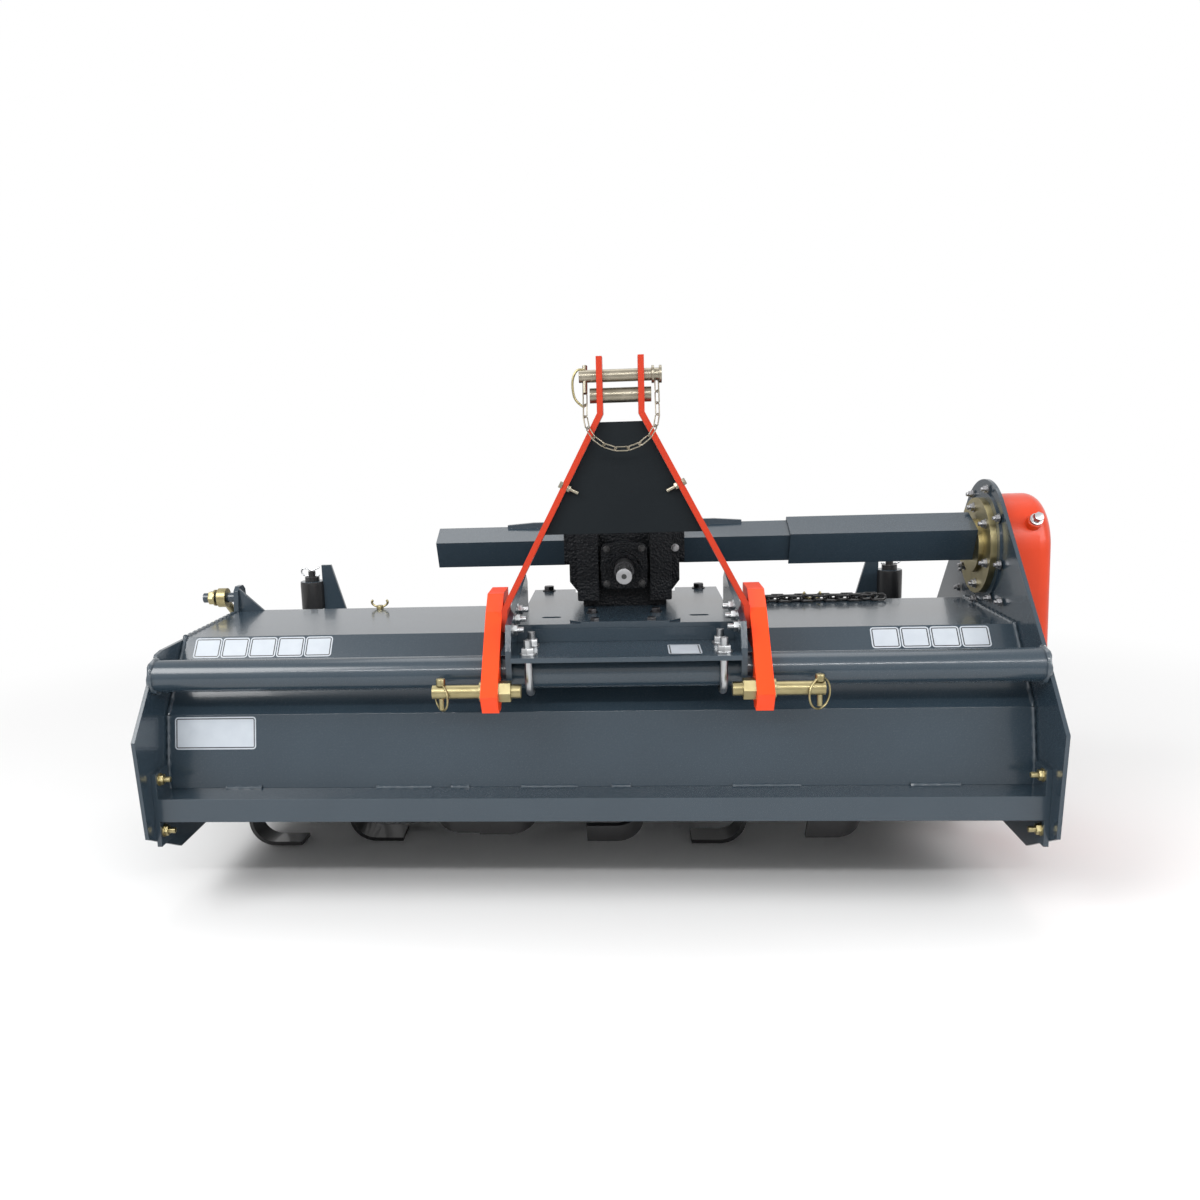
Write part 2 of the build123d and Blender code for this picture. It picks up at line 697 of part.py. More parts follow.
# Adjusters: two eyes, threaded rods and a turnbuckle body
for name, end, lug in (("adjuster_left", -1, LEFT_LUG), ("adjuster_right", 1, RIGHT_LUG)):
    run = ARM_PIN[0] - lug[0]
    rise = ARM_PIN[1] - lug[1]
    long = hypot(run, rise)
    top_eye = (end * LINK_X, lug[0] - Y_MID, lug[1])
    along = Plane(origin=top_eye, x_dir=(1, 0, 0), z_dir=(0, run / long, rise / long))
    with BuildPart() as adjuster:
        with BuildSketch(side(end * LINK_X - LINK_EYE_T / 2)):
            with Locations(lug, ARM_PIN):
                Circle(LINK_EYE_R)
        extrude(amount=LINK_EYE_T)
        rod_start = (LINK_EYE_R + LINK_PIN_R) / 2
        with BuildSketch(along.offset(rod_start)):
            Circle(LINK_ROD_R)
        extrude(amount=long - 2 * rod_start)
        with BuildSketch(along.offset((long - LINK_BODY) / 2)):
            Circle(LINK_BODY_R)
        extrude(amount=LINK_BODY)
        with BuildSketch(side(end * LINK_X - LINK_EYE_T / 2)):
            with Locations(lug, ARM_PIN):
                Circle(LINK_PIN_R + SEAT)
        extrude(amount=LINK_EYE_T, mode=Mode.SUBTRACT)
    finish(adjuster, name)

# Drive flange with its bearing hub
flange_x = INNER_X - RING_T
cover_end = flange_x - FLANGE_T - HUB_T
with BuildPart() as drive_flange:
    for radius, length in ((FLANGE_R, FLANGE_T), (HUB_R, FLANGE_T + HUB_T)):
        with BuildSketch(side(flange_x)):
            with Locations(drive_centre):
                Circle(radius)
        extrude(amount=-length)
finish(drive_flange, "drive_flange")

# Shaft tubes on edge, each with a tapered fin on its ridge beside the gearbox
shaft_centre = (DRIVE_DEPTH, SHAFT_H)
ridge_turn = radians(45 + GUARD_TURN)
ridge_depth = DRIVE_DEPTH + GUARD_SIDE / sqrt(2) * cos(ridge_turn)
ridge_h = SHAFT_H + GUARD_SIDE / sqrt(2) * sin(ridge_turn)
tube_rows = (
    ("shaft_tube_left", -1, GUARD_LEFT_X),
    ("shaft_tube_right", 1, GUARD_RIGHT_X),
)
for name, hand, end_x in tube_rows:
    start_x = HITCH_X + hand * GEAR_HALF
    with BuildPart() as shaft_tube:
        with BuildSketch(side(start_x)):
            with Locations(shaft_centre):
                Rectangle(GUARD_SIDE, GUARD_SIDE, rotation=GUARD_TURN)
        extrude(amount=end_x - start_x)
        with BuildSketch(front(ridge_depth - FIN_T / 2)):
            with BuildLine():
                Polyline(
                    (-start_x, ridge_h - FIN_T),
                    (-start_x, ridge_h + FIN_TALL),
                    (-start_x - hand * FIN_FLAT, ridge_h + FIN_TALL),
                    (-start_x - hand * FIN_LONG, ridge_h + FIN_TALL / 2),
                    (-start_x - hand * FIN_LONG, ridge_h - FIN_T),
                    close=True,
                )
            make_face()
        extrude(amount=FIN_T)
    finish(shaft_tube, name)

# Open cover over the end of the shaft, held off the right tube by a block
with BuildPart() as drive_guard:
    cover_in = COVER_SIDE - 2 * COVER_WALL
    block_t = (cover_in - GUARD_SIDE) / 2 + COVER_WALL
    with BuildSketch(side(GUARD_RIGHT_X - COVER_LAP)):
        with Locations(Location(shaft_centre, GUARD_TURN)):
            Rectangle(COVER_SIDE, COVER_SIDE)
            with Locations((0, -COVER_WALL)):
                Rectangle(cover_in, COVER_SIDE, mode=Mode.SUBTRACT)
    extrude(amount=cover_end - GUARD_RIGHT_X + COVER_LAP)
    with BuildSketch(side(GUARD_RIGHT_X - BLOCK_SET)):
        with Locations(Location(shaft_centre, GUARD_TURN)):
            with Locations((0, (GUARD_SIDE + block_t) / 2)):
                Rectangle(cover_in, block_t)
    extrude(amount=SADDLE_BLOCK)
finish(drive_guard, "drive_guard")

# Drive case outside the right plate, from the shaft down to the rotor
with BuildPart() as drive_case:
    with BuildSketch(side(PLATE_X)):
        with Locations(drive_centre, (ROTOR_DEPTH, ROTOR_H)):
            Circle(CASE_R)
        make_hull()
    extrude(amount=CASE_T)
    fillet(drive_case.faces().sort_by(Axis.X)[-1].edges(), CASE_ROUND)
finish(drive_case, "drive_case")

# Hitch cradle: saddle on the round beam, cross bar, base plate with slots, cheeks and U-bolts
saddle_h = TUBE_H + TUBE_R
cradle_half = ARM_IN - STRAP_T - CHEEK_T
leg_run = TUBE_R + UBOLT_R + UBOLT_GAP
with BuildPart() as saddle:
    with Locations((HITCH_X, (SADDLE_FRONT + SADDLE_REAR) / 2 - Y_MID, saddle_h + SADDLE_T / 2)):
        Box(2 * cradle_half, SADDLE_REAR - SADDLE_FRONT, SADDLE_T)
    for hand in (-1, 1):
        for leg in (-1, 1):
            with Locations((HITCH_X + hand * UBOLT_X, TUBE_DEPTH + leg * leg_run - Y_MID, saddle_h)):
                Cylinder(UBOLT_R + RUN, 4 * SADDLE_T, mode=Mode.SUBTRACT)
finish(saddle, "saddle")

cross_h = saddle_h + SADDLE_T
with BuildPart() as cross_bar:
    with Locations((HITCH_X, SADDLE_REAR - CROSS_DEEP / 2 - Y_MID, cross_h + CROSS_TALL / 2)):
        Box(2 * cradle_half, CROSS_DEEP, CROSS_TALL)
finish(cross_bar, "cross_bar")

base_h = cross_h + CROSS_TALL
pad_h = base_h + BASE_T + PAD_T
base_front = SADDLE_REAR - CROSS_DEEP
with BuildPart() as base_plate:
    with BuildSketch(Plane(origin=(HITCH_X, -Y_MID, base_h))):
        with Locations((0, (base_front + BASE_REAR) / 2)):
            Rectangle(2 * cradle_half, BASE_REAR - base_front)
        with Locations((0, BASE_REAR - BASE_NOTCH / 2)):
            Rectangle(2 * BASE_NOTCH_HALF, BASE_NOTCH, mode=Mode.SUBTRACT)
        with Locations((-SLOT_X, SLOT_DEPTH), (SLOT_X, SLOT_DEPTH)):
            SlotOverall(SLOT_LONG, SLOT_WIDE, mode=Mode.SUBTRACT)
    extrude(amount=BASE_T)
    pad_rear = BASE_REAR - BASE_NOTCH
    with BuildSketch(Plane(origin=(HITCH_X, (base_front + pad_rear) / 2 - Y_MID, base_h + BASE_T))) as pad:
        Rectangle(2 * PAD_HALF, pad_rear - base_front)
        chamfer(pad.vertices(), PAD_CORNER)
    extrude(amount=PAD_T)
    foot_tall = base_h - DECK_H
    with Locations((HITCH_X, DECK_REAR - BASE_FOOT - Y_MID, DECK_H + foot_tall / 2)):
        Box(2 * cradle_half, BASE_FOOT, foot_tall)
finish(base_plate, "base_plate")

cheek_outline = [
    (CHEEK_FRONT, CHEEK_FOOT_H),
    (CHEEK_FRONT, saddle_h + 2 * SADDLE_T),
    (TUBE_DEPTH - TUBE_R, CHEEK_NECK_H),
    (CHEEK_REAR - CHEEK_CORNER[0], CHEEK_TOP_H),
    (CHEEK_REAR, CHEEK_TOP_H - CHEEK_CORNER[1]),
    (CHEEK_REAR, DECK_H),
    (DECK_FRONT, DECK_H),
    (DECK_FRONT - CHEEK_HEEL[0], DECK_H - CHEEK_HEEL[1]),
    (TUBE_DEPTH + leg_run + CHEEK_WRAP, CHEEK_FOOT_H),
]
for name, hand in (("hitch_cheek_left", -1), ("hitch_cheek_right", 1)):
    cheek_x = HITCH_X + hand * cradle_half
    plate(name, cheek_outline, cheek_x, hand * CHEEK_T, [(TUBE_DEPTH, TUBE_H, TUBE_R + SEAT)])

with BuildPart() as u_bolts:
    leg_top = saddle_h + UBOLT_RISE
    for hand in (-1, 1):
        with BuildLine(side(HITCH_X + hand * UBOLT_X)) as bend:
            Line((TUBE_DEPTH - leg_run, leg_top), (TUBE_DEPTH - leg_run, TUBE_H))
            CenterArc((TUBE_DEPTH, TUBE_H), leg_run, 180, 180)
            Line((TUBE_DEPTH + leg_run, TUBE_H), (TUBE_DEPTH + leg_run, leg_top))
        with BuildSketch(Plane(origin=bend.line @ 0, z_dir=bend.line % 0)):
            RegularPolygon(UBOLT_R, UBOLT_SIDES)
        sweep(path=bend.line)
finish(u_bolts, "u_bolts")

# Gearbox: a casting with two front columns, a bearing cap between them, side bosses and a tapered foot
with BuildPart() as gearbox:
    gear_back = GEAR_FRONT + GEAR_RECESS
    gear_top = DRIVE_H + GEAR_TALL
    right_half = [
        (0, pad_h),
        (GEAR_FOOT_HALF, pad_h),
        (GEAR_FOOT_HALF, pad_h + COLUMN_LOW),
        (GEAR_BODY_HALF, GEAR_KNEE_H),
        (GEAR_BODY_HALF, gear_top - GEAR_SHOULDER),
        (GEAR_BODY_HALF - GEAR_SHOULDER, gear_top),
        (0, gear_top),
    ]
    with BuildSketch(Plane(origin=(HITCH_X, gear_back - Y_MID, 0), x_dir=(-1, 0, 0), z_dir=(0, 1, 0))):
        with BuildLine():
            Polyline(*right_half, close=True)
        make_face()
        mirror(about=Plane.YZ)
    extrude(amount=GEAR_REAR - gear_back)
    column_low = pad_h + COLUMN_LOW
    column_tall = gear_top - GEAR_SHOULDER - column_low
    with BuildSketch(front(GEAR_FRONT)):
        for hand in (-1, 1):
            with Locations((-HITCH_X + hand * (COLUMN_IN + COLUMN_OUT) / 2, column_low + column_tall / 2)):
                RectangleRounded(COLUMN_OUT - COLUMN_IN, column_tall, PAD_T)
    extrude(amount=GEAR_RECESS)
    with BuildSketch(side(HITCH_X - GEAR_HALF)):
        with Locations(shaft_centre):
            RectangleRounded(BOSS_DEEP, BOSS_TALL, CHEEK_T)
    extrude(amount=2 * GEAR_HALF)
    cap_rows = ((NOSE_R, NOSE_FRONT, gear_back), (SEAL_R, NOSE_FRONT - SEAL_LONG, NOSE_FRONT))
    for radius, start, stop in cap_rows:
        with BuildSketch(front(start)):
            with Locations((-HITCH_X, PTO_H)):
                Circle(radius)
        extrude(amount=stop - start)
    with BuildSketch(front(NOSE_FRONT - SEAL_LONG)):
        with Locations((-HITCH_X, PTO_H)):
            Circle(PTO_SHAFT_R + RUN)
    extrude(amount=SEAL_LONG + PTO_DEEP, mode=Mode.SUBTRACT)
finish(gearbox, "gearbox")

# Splined input shaft
with BuildPart() as pto_shaft:
    spline_end = PTO_FRONT + PTO_SPLINE_LONG
    with BuildSketch(front(PTO_FRONT)):
        with Locations((-HITCH_X, PTO_H)):
            Circle(PTO_R)
            with PolarLocations(PTO_R, PTO_SPLINES, rotate=True):
                Rectangle(2 * (PTO_R - PTO_ROOT_R), PTO_SPLINE_GAP, mode=Mode.SUBTRACT)
    extrude(amount=PTO_SPLINE_LONG)
    with BuildSketch(front(spline_end)):
        with Locations((-HITCH_X, PTO_H)):
            Circle(PTO_SHAFT_R)
    extrude(amount=NOSE_FRONT + PTO_DEEP - SEAT - spline_end)
finish(pto_shaft, "pto_shaft")

# Lower hitch arms, hooked over the round beam, and their pins
arm_back = TUBE_DEPTH - TUBE_R - HOOK_GAP
pin_depth, pin_h = LOWER_PIN
arm_outline = [
    (pin_depth - ARM_NOSE, pin_h - ARM_NOSE_DROP),
    ARM_KNEE,
    (ARM_CREST, ARM_TOP_H),
    (ARM_REAR, ARM_TOP_H),
    (ARM_REAR, saddle_h + ARM_HEEL),
    (TUBE_DEPTH + TUBE_R + HOOK_REAR[0], saddle_h + HOOK_REAR[1]),
    (TUBE_DEPTH - HOOK_CROWN[0], saddle_h + HOOK_CROWN[1]),
    (arm_back, TUBE_H + HOOK_RISE),
    (arm_back, TUBE_H - ARM_CHIN),
    (pin_depth + ARM_CHIN_REAR, pin_h - ARM_CHIN),
    (pin_depth - ARM_CHIN_FRONT, pin_h - ARM_CHIN),
]
for name, hand in (("lower_arm_left", -1), ("lower_arm_right", 1)):
    plate(name, arm_outline, HITCH_X + hand * ARM_IN, hand * HITCH_ARM_T, [(*LOWER_PIN, LOWER_PIN_R + SEAT)])

for name, hand in (("lower_pin_left", -1), ("lower_pin_right", 1)):
    pin_in = ARM_IN - LOWER_NUT - LOWER_THREAD
    arm_out = ARM_IN + HITCH_ARM_T
    with BuildPart() as lower_pin:
        with BuildSketch(side(HITCH_X + hand * pin_in)):
            with Locations(LOWER_PIN):
                Circle(LOWER_PIN_R)
        extrude(amount=hand * (LOWER_PIN_END - pin_in))
        with BuildSketch(side(HITCH_X + hand * arm_out)):
            with Locations(LOWER_PIN):
                Circle(LOWER_COLLAR_R)
        extrude(amount=hand * LOWER_COLLAR)
        with BuildSketch(side(HITCH_X + hand * ARM_IN)):
            with Locations(LOWER_PIN):
                RegularPolygon(LOWER_NUT_R, 6)
        extrude(amount=-hand * LOWER_NUT)
    finish(lower_pin, name)

# Mast: two bent straps, the spacer and a shield between the straps
strap_foot = ARM_IN - STRAP_T
for name, hand in (("mast_strap_left", -1), ("mast_strap_right", 1)):
    with BuildPart() as mast_strap:
        with BuildSketch(front(STRAP_FRONT)):
            with BuildLine():
                Polyline(
                    (-HITCH_X - hand * EAR_IN, EAR_TOP_H),
                    (-HITCH_X - hand * EAR_IN, EAR_BEND_H),
                    (-HITCH_X - hand * strap_foot, STRAP_FOOT_H),
                    (-HITCH_X - hand * strap_foot, STRAP_LOW_H),
                )
                offset(amount=STRAP_T, side=Side.RIGHT if hand > 0 else Side.LEFT, kind=Kind.INTERSECTION)
            make_face()
        extrude(amount=STRAP_DEEP)
        for height, radius in ((TOP_PIN[1], TOP_PIN_R), (SPACER_H, SPACER_R)):
            with BuildSketch(side(HITCH_X + hand * (EAR_IN - THROUGH))):
                with Locations((TOP_PIN[0], height)):
                    Circle(radius + SEAT)
            extrude(amount=hand * (STRAP_T + 2 * THROUGH), mode=Mode.SUBTRACT)
    finish(mast_strap, name)

with BuildPart() as mast_spacer:
    spacer_half = EAR_IN + STRAP_T + SPACER_LAP
    with BuildSketch(side(HITCH_X - spacer_half)):
        with Locations((TOP_PIN[0], SPACER_H)):
            Circle(SPACER_R)
    extrude(amount=2 * spacer_half)
finish(mast_spacer, "mast_spacer")

with BuildPart() as mast_shield:
    slope_tall = EAR_BEND_H - STRAP_FOOT_H
    shield_top_h = EAR_BEND_H - SHIELD_TOP * slope_tall
    shield_low_h = EAR_BEND_H - SHIELD_LOW * slope_tall
    top_half = EAR_IN + SHIELD_TOP * (strap_foot - EAR_IN) - SEAT
    low_half = EAR_IN + SHIELD_LOW * (strap_foot - EAR_IN) - SEAT
    with BuildSketch(front(STRAP_FRONT + SHIELD_SET)):
        with BuildLine():
            Polyline(
                (-HITCH_X - top_half, shield_top_h),
                (-HITCH_X + top_half, shield_top_h),
                (-HITCH_X + low_half, shield_low_h),
                (-HITCH_X - low_half, shield_low_h),
                close=True,
            )
        make_face()
    extrude(amount=SHIELD_T)
finish(mast_shield, "mast_shield")

# Top pin with a grooved head and a leaning linch pin; each has an eye that holds an end of the safety chain
pin_x = HITCH_X - TOP_PIN_HALF
head_x = HITCH_X + TOP_PIN_HALF
linch_x = pin_x + LINCH_SET
head_eye_x = head_x - HEAD_EYE_SET
bend_r = (head_eye_x - linch_x) / 2
pin_chain_links = PIN_CHAIN_DROP + PIN_CHAIN_BEND + PIN_CHAIN_RISE
pin_pitch = 2 * bend_r * sin(radians(90 / PIN_CHAIN_BEND))
pin_link = (pin_pitch, PIN_CHAIN_WIRE, PIN_CHAIN_WIDE)
lean = radians(PIN_CHAIN_LEAN)
droop = Vector(0, -sin(lean), -cos(lean))
head_eye = Vector(head_eye_x, TOP_PIN[0] - Y_MID, TOP_PIN[1]) + droop * TOP_PIN_R
linch_drop = TOP_PIN_R + (PIN_CHAIN_DROP - PIN_CHAIN_RISE) * pin_pitch
linch_eye = Vector(linch_x, TOP_PIN[0] - Y_MID, TOP_PIN[1]) + droop * linch_drop
with BuildPart() as top_pin:
    with BuildSketch(side(pin_x)):
        with Locations(TOP_PIN):
            Circle(TOP_PIN_R)
    extrude(amount=2 * TOP_PIN_HALF)
    for flange in (head_x - HEAD_FLANGE_T, head_x - 2 * HEAD_FLANGE_T - HEAD_GROOVE):
        with BuildSketch(side(flange)):
            with Locations(TOP_PIN):
                Circle(HEAD_FLANGE_R)
        extrude(amount=HEAD_FLANGE_T)
    with BuildSketch(Plane(origin=linch_eye, z_dir=-droop)):
        Circle(LINCH_R)
    extrude(amount=linch_drop + TOP_PIN_R + LINCH_RISE)
    chain_link(head_eye + droop * (pin_pitch / 2), droop, 45, *pin_link)
    chain_link(linch_eye + droop * (pin_pitch / 2), -droop, 45 + 90 * ((pin_chain_links + 1) % 2), *pin_link)
finish(top_pin, "top_pin")

# Safety chain: links between joints that lie a pitch apart on the hanging line
joints = [head_eye + droop * (number * pin_pitch) for number in range(1, PIN_CHAIN_DROP + 1)]
bend_middle = head_eye + Vector(-bend_r, 0, 0) + droop * ((PIN_CHAIN_DROP + 1) * pin_pitch)
for number in range(PIN_CHAIN_BEND + 1):
    turn = radians(180 * number / PIN_CHAIN_BEND)
    joints.append(bend_middle + Vector(bend_r * cos(turn), 0, 0) + droop * (bend_r * sin(turn)))
for number in range(PIN_CHAIN_RISE, 0, -1):
    joints.append(linch_eye + droop * (number * pin_pitch))
with BuildPart() as pin_chain:
    for number, (start, stop) in enumerate(zip(joints, joints[1:])):
        chain_link((start + stop) / 2, stop - start, 45 + 90 * ((number + 1) % 2), *pin_link)
finish(pin_chain, "pin_chain")

# Deck chain: rows of links laid along the rear edge of the deck, each half a pitch further on
with BuildPart() as deck_chain:
    half_tall = (DECK_CHAIN_WIDE / 2 - DECK_CHAIN_WIRE) * sin(radians(45)) + DECK_CHAIN_WIRE
    deck_link = (DECK_CHAIN_PITCH, DECK_CHAIN_WIRE, DECK_CHAIN_WIDE)
    for row in range(DECK_CHAIN_ROWS):
        row_y = DECK_REAR - half_tall - row * (2 * half_tall + SEAT) - Y_MID
        for number in range(DECK_CHAIN_LINKS):
            link_x = DECK_CHAIN_X + (number + row / 2) * DECK_CHAIN_PITCH
            place = (link_x, row_y, DECK_H + half_tall + SEAT)
            chain_link(place, (1, 0, 0), 45 + 90 * (number % 2), *deck_link)
finish(deck_chain, "deck_chain")
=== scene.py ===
"""Looks of a tractor-mounted stone burier: paint, plating, castings, fasteners and blank labels."""
from math import cos, pi, radians, sin, tau

import bmesh
import bpy
from mathutils import Matrix, Vector


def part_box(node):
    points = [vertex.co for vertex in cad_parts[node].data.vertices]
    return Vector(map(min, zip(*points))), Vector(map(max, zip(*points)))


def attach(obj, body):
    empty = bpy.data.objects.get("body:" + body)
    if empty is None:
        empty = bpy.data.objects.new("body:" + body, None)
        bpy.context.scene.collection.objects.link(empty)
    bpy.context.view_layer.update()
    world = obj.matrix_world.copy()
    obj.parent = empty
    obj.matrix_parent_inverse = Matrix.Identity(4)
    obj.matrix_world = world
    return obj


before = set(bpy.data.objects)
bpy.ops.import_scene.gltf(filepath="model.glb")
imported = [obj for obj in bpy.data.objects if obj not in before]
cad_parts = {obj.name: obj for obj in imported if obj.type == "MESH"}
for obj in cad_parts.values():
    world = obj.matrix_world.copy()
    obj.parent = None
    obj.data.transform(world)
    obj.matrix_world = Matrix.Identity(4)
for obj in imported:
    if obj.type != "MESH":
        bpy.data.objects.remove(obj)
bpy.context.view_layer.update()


# Hood and frame: pressed and welded sheet, sprayed with a glossy slate paint that flows out to
# a faint orange peel. The side plates, beams, grid and board share the same paint shop.
class Shade:
    """A socket of a material, with the operators that the looks need."""

    def __init__(self, tree, socket=None):
        self.tree = tree
        self.socket = socket

    def node(self, kind, inputs=None, out=0, **settings):
        """Add a node: its settings first, then the values or links of its sockets."""
        made = self.tree.nodes.new("ShaderNode" + kind)
        for name, value in settings.items():
            setattr(made, name, value)
        for name, value in (inputs or {}).items():
            if isinstance(value, Shade):
                self.tree.links.new(value.socket, made.inputs[name])
            else:
                made.inputs[name].default_value = value
        return Shade(self.tree, made.outputs[out])

    def maths(self, operation, first, second):
        return self.node("Math", {0: first, 1: second}, operation=operation)

    def __add__(self, other):
        return self.maths("ADD", self, other)

    __radd__ = __add__

    def __mul__(self, other):
        return self.maths("MULTIPLY", self, other)

    __rmul__ = __mul__

    def band(self, low, high):
        """From 0 at low to 1 at high, smoothly, and level outside them."""
        ends = {"Value": self, "From Min": low, "From Max": high}
        return self.node("MapRange", ends, interpolation_type="SMOOTHSTEP")

    def tint(self, low, high):
        """Colours from low to high as this value goes from 0 to 1."""
        return self.node("Mix", {0: self, 6: (*low, 1), 7: (*high, 1)}, 2, data_type="RGBA")


def new_material(name):
    """A new material, its node tree as a Shade, and its Principled shader."""
    made = bpy.data.materials.new(name)
    made.use_nodes = True
    return made, Shade(made.node_tree), made.node_tree.nodes["Principled BSDF"]


def feed(shades, principled, links):
    """Link what changes over a surface to the shader's own sockets."""
    for name, value in links.items():
        shades.tree.links.new(value.socket, principled.inputs[name])


MOTTLE_SCALE = 7.0
DUST_SCALE = 900.0
DUST_BAND = (0.55, 0.75)
DUST_ROUGH = 0.12
PEEL_SCALE = 420.0
PEEL_DEPTH = 0.0006
PAINTED_EDGE = 0.0015
COAT_ROUGH = 0.05


def paint(name, deep, pale, rough, peel, coat=0.2, mirror=0.5):
    """Sprayed paint: faint mottle in its colour, dust in its gloss, softened edges and orange peel."""
    made, shades, principled = new_material(name)
    place = shades.node("TexCoord", out="Object")
    cloud = shades.node("TexNoise", {"Vector": place, "Scale": MOTTLE_SCALE, "Detail": 4.0})
    dust = shades.node("TexNoise", {"Vector": place, "Scale": DUST_SCALE, "Detail": 1.0})
    ripple = shades.node("TexNoise", {"Vector": place, "Scale": PEEL_SCALE, "Detail": 2.0})
    soft = shades.node("Bevel", {"Radius": PAINTED_EDGE}, samples=4)
    relief = {"Strength": peel, "Distance": PEEL_DEPTH, "Height": ripple, "Normal": soft}
    feed(shades, principled, {
        "Base Color": cloud.tint(deep, pale),
        "Roughness": dust.band(*DUST_BAND) * DUST_ROUGH + rough,
        "Normal": shades.node("Bump", relief),
    })
    principled.inputs["Specular IOR Level"].default_value = mirror
    principled.inputs["Coat Weight"].default_value = coat
    principled.inputs["Coat Roughness"].default_value = COAT_ROUGH
    return made


def dress(material, *names):
    """Give CAD nodes a material in place of the plain one that they were packed with."""
    for name in names:
        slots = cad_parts[name].data.materials
        slots.clear()
        slots.append(material)


slate = paint("slate paint", (0.020, 0.034, 0.048), (0.028, 0.045, 0.061), 0.22, 0.10)
dress(slate, "side_plate_left", "side_plate_right", "hood", "front_bar", "round_beam", "rear_beam")
dress(slate, "stone_grid", "levelling_board", "post_guide_left", "post_guide_right", "adjuster_lug_left")
dress(slate, "shaft_tube_left", "shaft_tube_right", "drive_guard", "roller_arm_left", "roller_arm_right")
dress(slate, "saddle", "cross_bar", "base_plate", "hitch_cheek_left", "hitch_cheek_right", "rotor_bearings")


# Hood seams: the sheet is welded to the side plates by hand, and so are the ends of the round beam,
# in coarse overlapping ripples that the paint doesn't hide. The paint on the beads is made paler than
# the slate as painted highlight on the ripples. Short beads hold the front bar.
SHARP_EDGE = radians(38)


def piece(shape, name, materials, body="frame"):
    """Close a bmesh as an object in place, and let it ride on a body."""
    bmesh.ops.recalc_face_normals(shape, faces=shape.faces)
    mesh = bpy.data.meshes.new(name)
    shape.to_mesh(mesh)
    shape.free()
    mesh.polygons.foreach_set("use_smooth", [True] * len(mesh.polygons))
    mesh.set_sharp_from_angle(angle=SHARP_EDGE)
    for material in materials:
        mesh.materials.append(material)
    made = bpy.data.objects.new(name, mesh)
    bpy.context.scene.collection.objects.link(made)
    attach(made, body)


def wire(shape, points, thick, smooth, swell=(1.0,)):
    """A round wire along a smooth line near given points; swell repeats along them."""
    line = bpy.data.curves.new("wire", "CURVE")
    line.dimensions = "3D"
    line.bevel_depth = thick
    line.bevel_resolution = 2
    line.resolution_u = smooth
    line.use_fill_caps = True
    spline = line.splines.new("NURBS")
    spline.points.add(len(points) - 1)
    for number, (knot, place) in enumerate(zip(spline.points, points)):
        knot.co = (*place, 1)
        knot.radius = swell[number % len(swell)]
    spline.order_u = 3
    spline.use_endpoint_u = True
    holder = bpy.data.objects.new("wire", line)
    mesh = bpy.data.meshes.new_from_object(holder)
    shape.from_mesh(mesh)
    bpy.data.objects.remove(holder)
    bpy.data.curves.remove(line)
    bpy.data.meshes.remove(mesh)


RIPPLE = (1.0, 0.4)
RIPPLE_STEPS = 2


def weld(shape, start, end, size):
    """A bead along a seam: a wire that swells and thins with each ripple."""
    start, end = Vector(start), Vector(end)
    ripples = max(4, round((end - start).length / size))
    points = [start.lerp(end, number / ripples) for number in range(ripples + 1)]
    wire(shape, points, size / 2, RIPPLE_STEPS, RIPPLE)


def round_weld(shape, centre, axis, radius, size):
    """The same bead round a tube's end."""
    turn = Vector((0, 0, 1)).rotation_difference(Vector(axis)).to_matrix()
    ripples = round(tau * radius / size)
    angles = [tau * number / ripples for number in range(ripples + 2)]
    points = [Vector(centre) + turn @ Vector((radius * cos(a), radius * sin(a), 0)) for a in angles]
    wire(shape, points, size / 2, RIPPLE_STEPS, RIPPLE)


hood_low, hood_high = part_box("hood")
beam_low, beam_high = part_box("round_beam")
DECK_Z = hood_high.z
DECK_FRONT_Y = -0.368
DECK_REAR_Y = -0.033
SLOPE_FOOT = (-0.490, 0.424)
BEAD = 0.013
BEAD_IN = BEAD / 3
BEAM_BEAD = 1.3 * BEAD
beam_y = (beam_low.y + beam_high.y) / 2
beam_z = (beam_low.z + beam_high.z) / 2
beam_radius = (beam_high.z - beam_low.z) / 2
bends = [(DECK_REAR_Y, DECK_Z), (DECK_FRONT_Y, DECK_Z), SLOPE_FOOT, (hood_low.y, hood_low.z)]
seams = bmesh.new()
for end_x in (hood_low.x + BEAD_IN, hood_high.x - BEAD_IN):
    for (from_y, from_z), (to_y, to_z) in zip(bends, bends[1:]):
        weld(seams, (end_x, from_y, from_z), (end_x, to_y, to_z), BEAD)
    round_weld(seams, (end_x, beam_y, beam_z), (1, 0, 0), beam_radius, BEAM_BEAD)
# first and last X of the short beads between the front panel and its bar
bar_beads = [(-0.78, -0.70), (-0.45, -0.33), (-0.29, -0.25), (-0.14, -0.02)]
bar_beads += [(0.05, 0.09), (0.30, 0.44), (0.66, 0.76)]
for from_x, to_x in bar_beads:
    weld(seams, (from_x, hood_low.y, hood_low.z), (to_x, hood_low.y, hood_low.z), BEAD)
# paler than the slate: painted highlight on the beads, on top of their real gloss and ripples
bead_paint_lightened = paint("slate over weld, painted highlight", (0.026, 0.040, 0.054), (0.050, 0.070, 0.088), 0.14, 0.6, coat=0.6)
piece(seams, "hood_seams", [bead_paint_lightened])


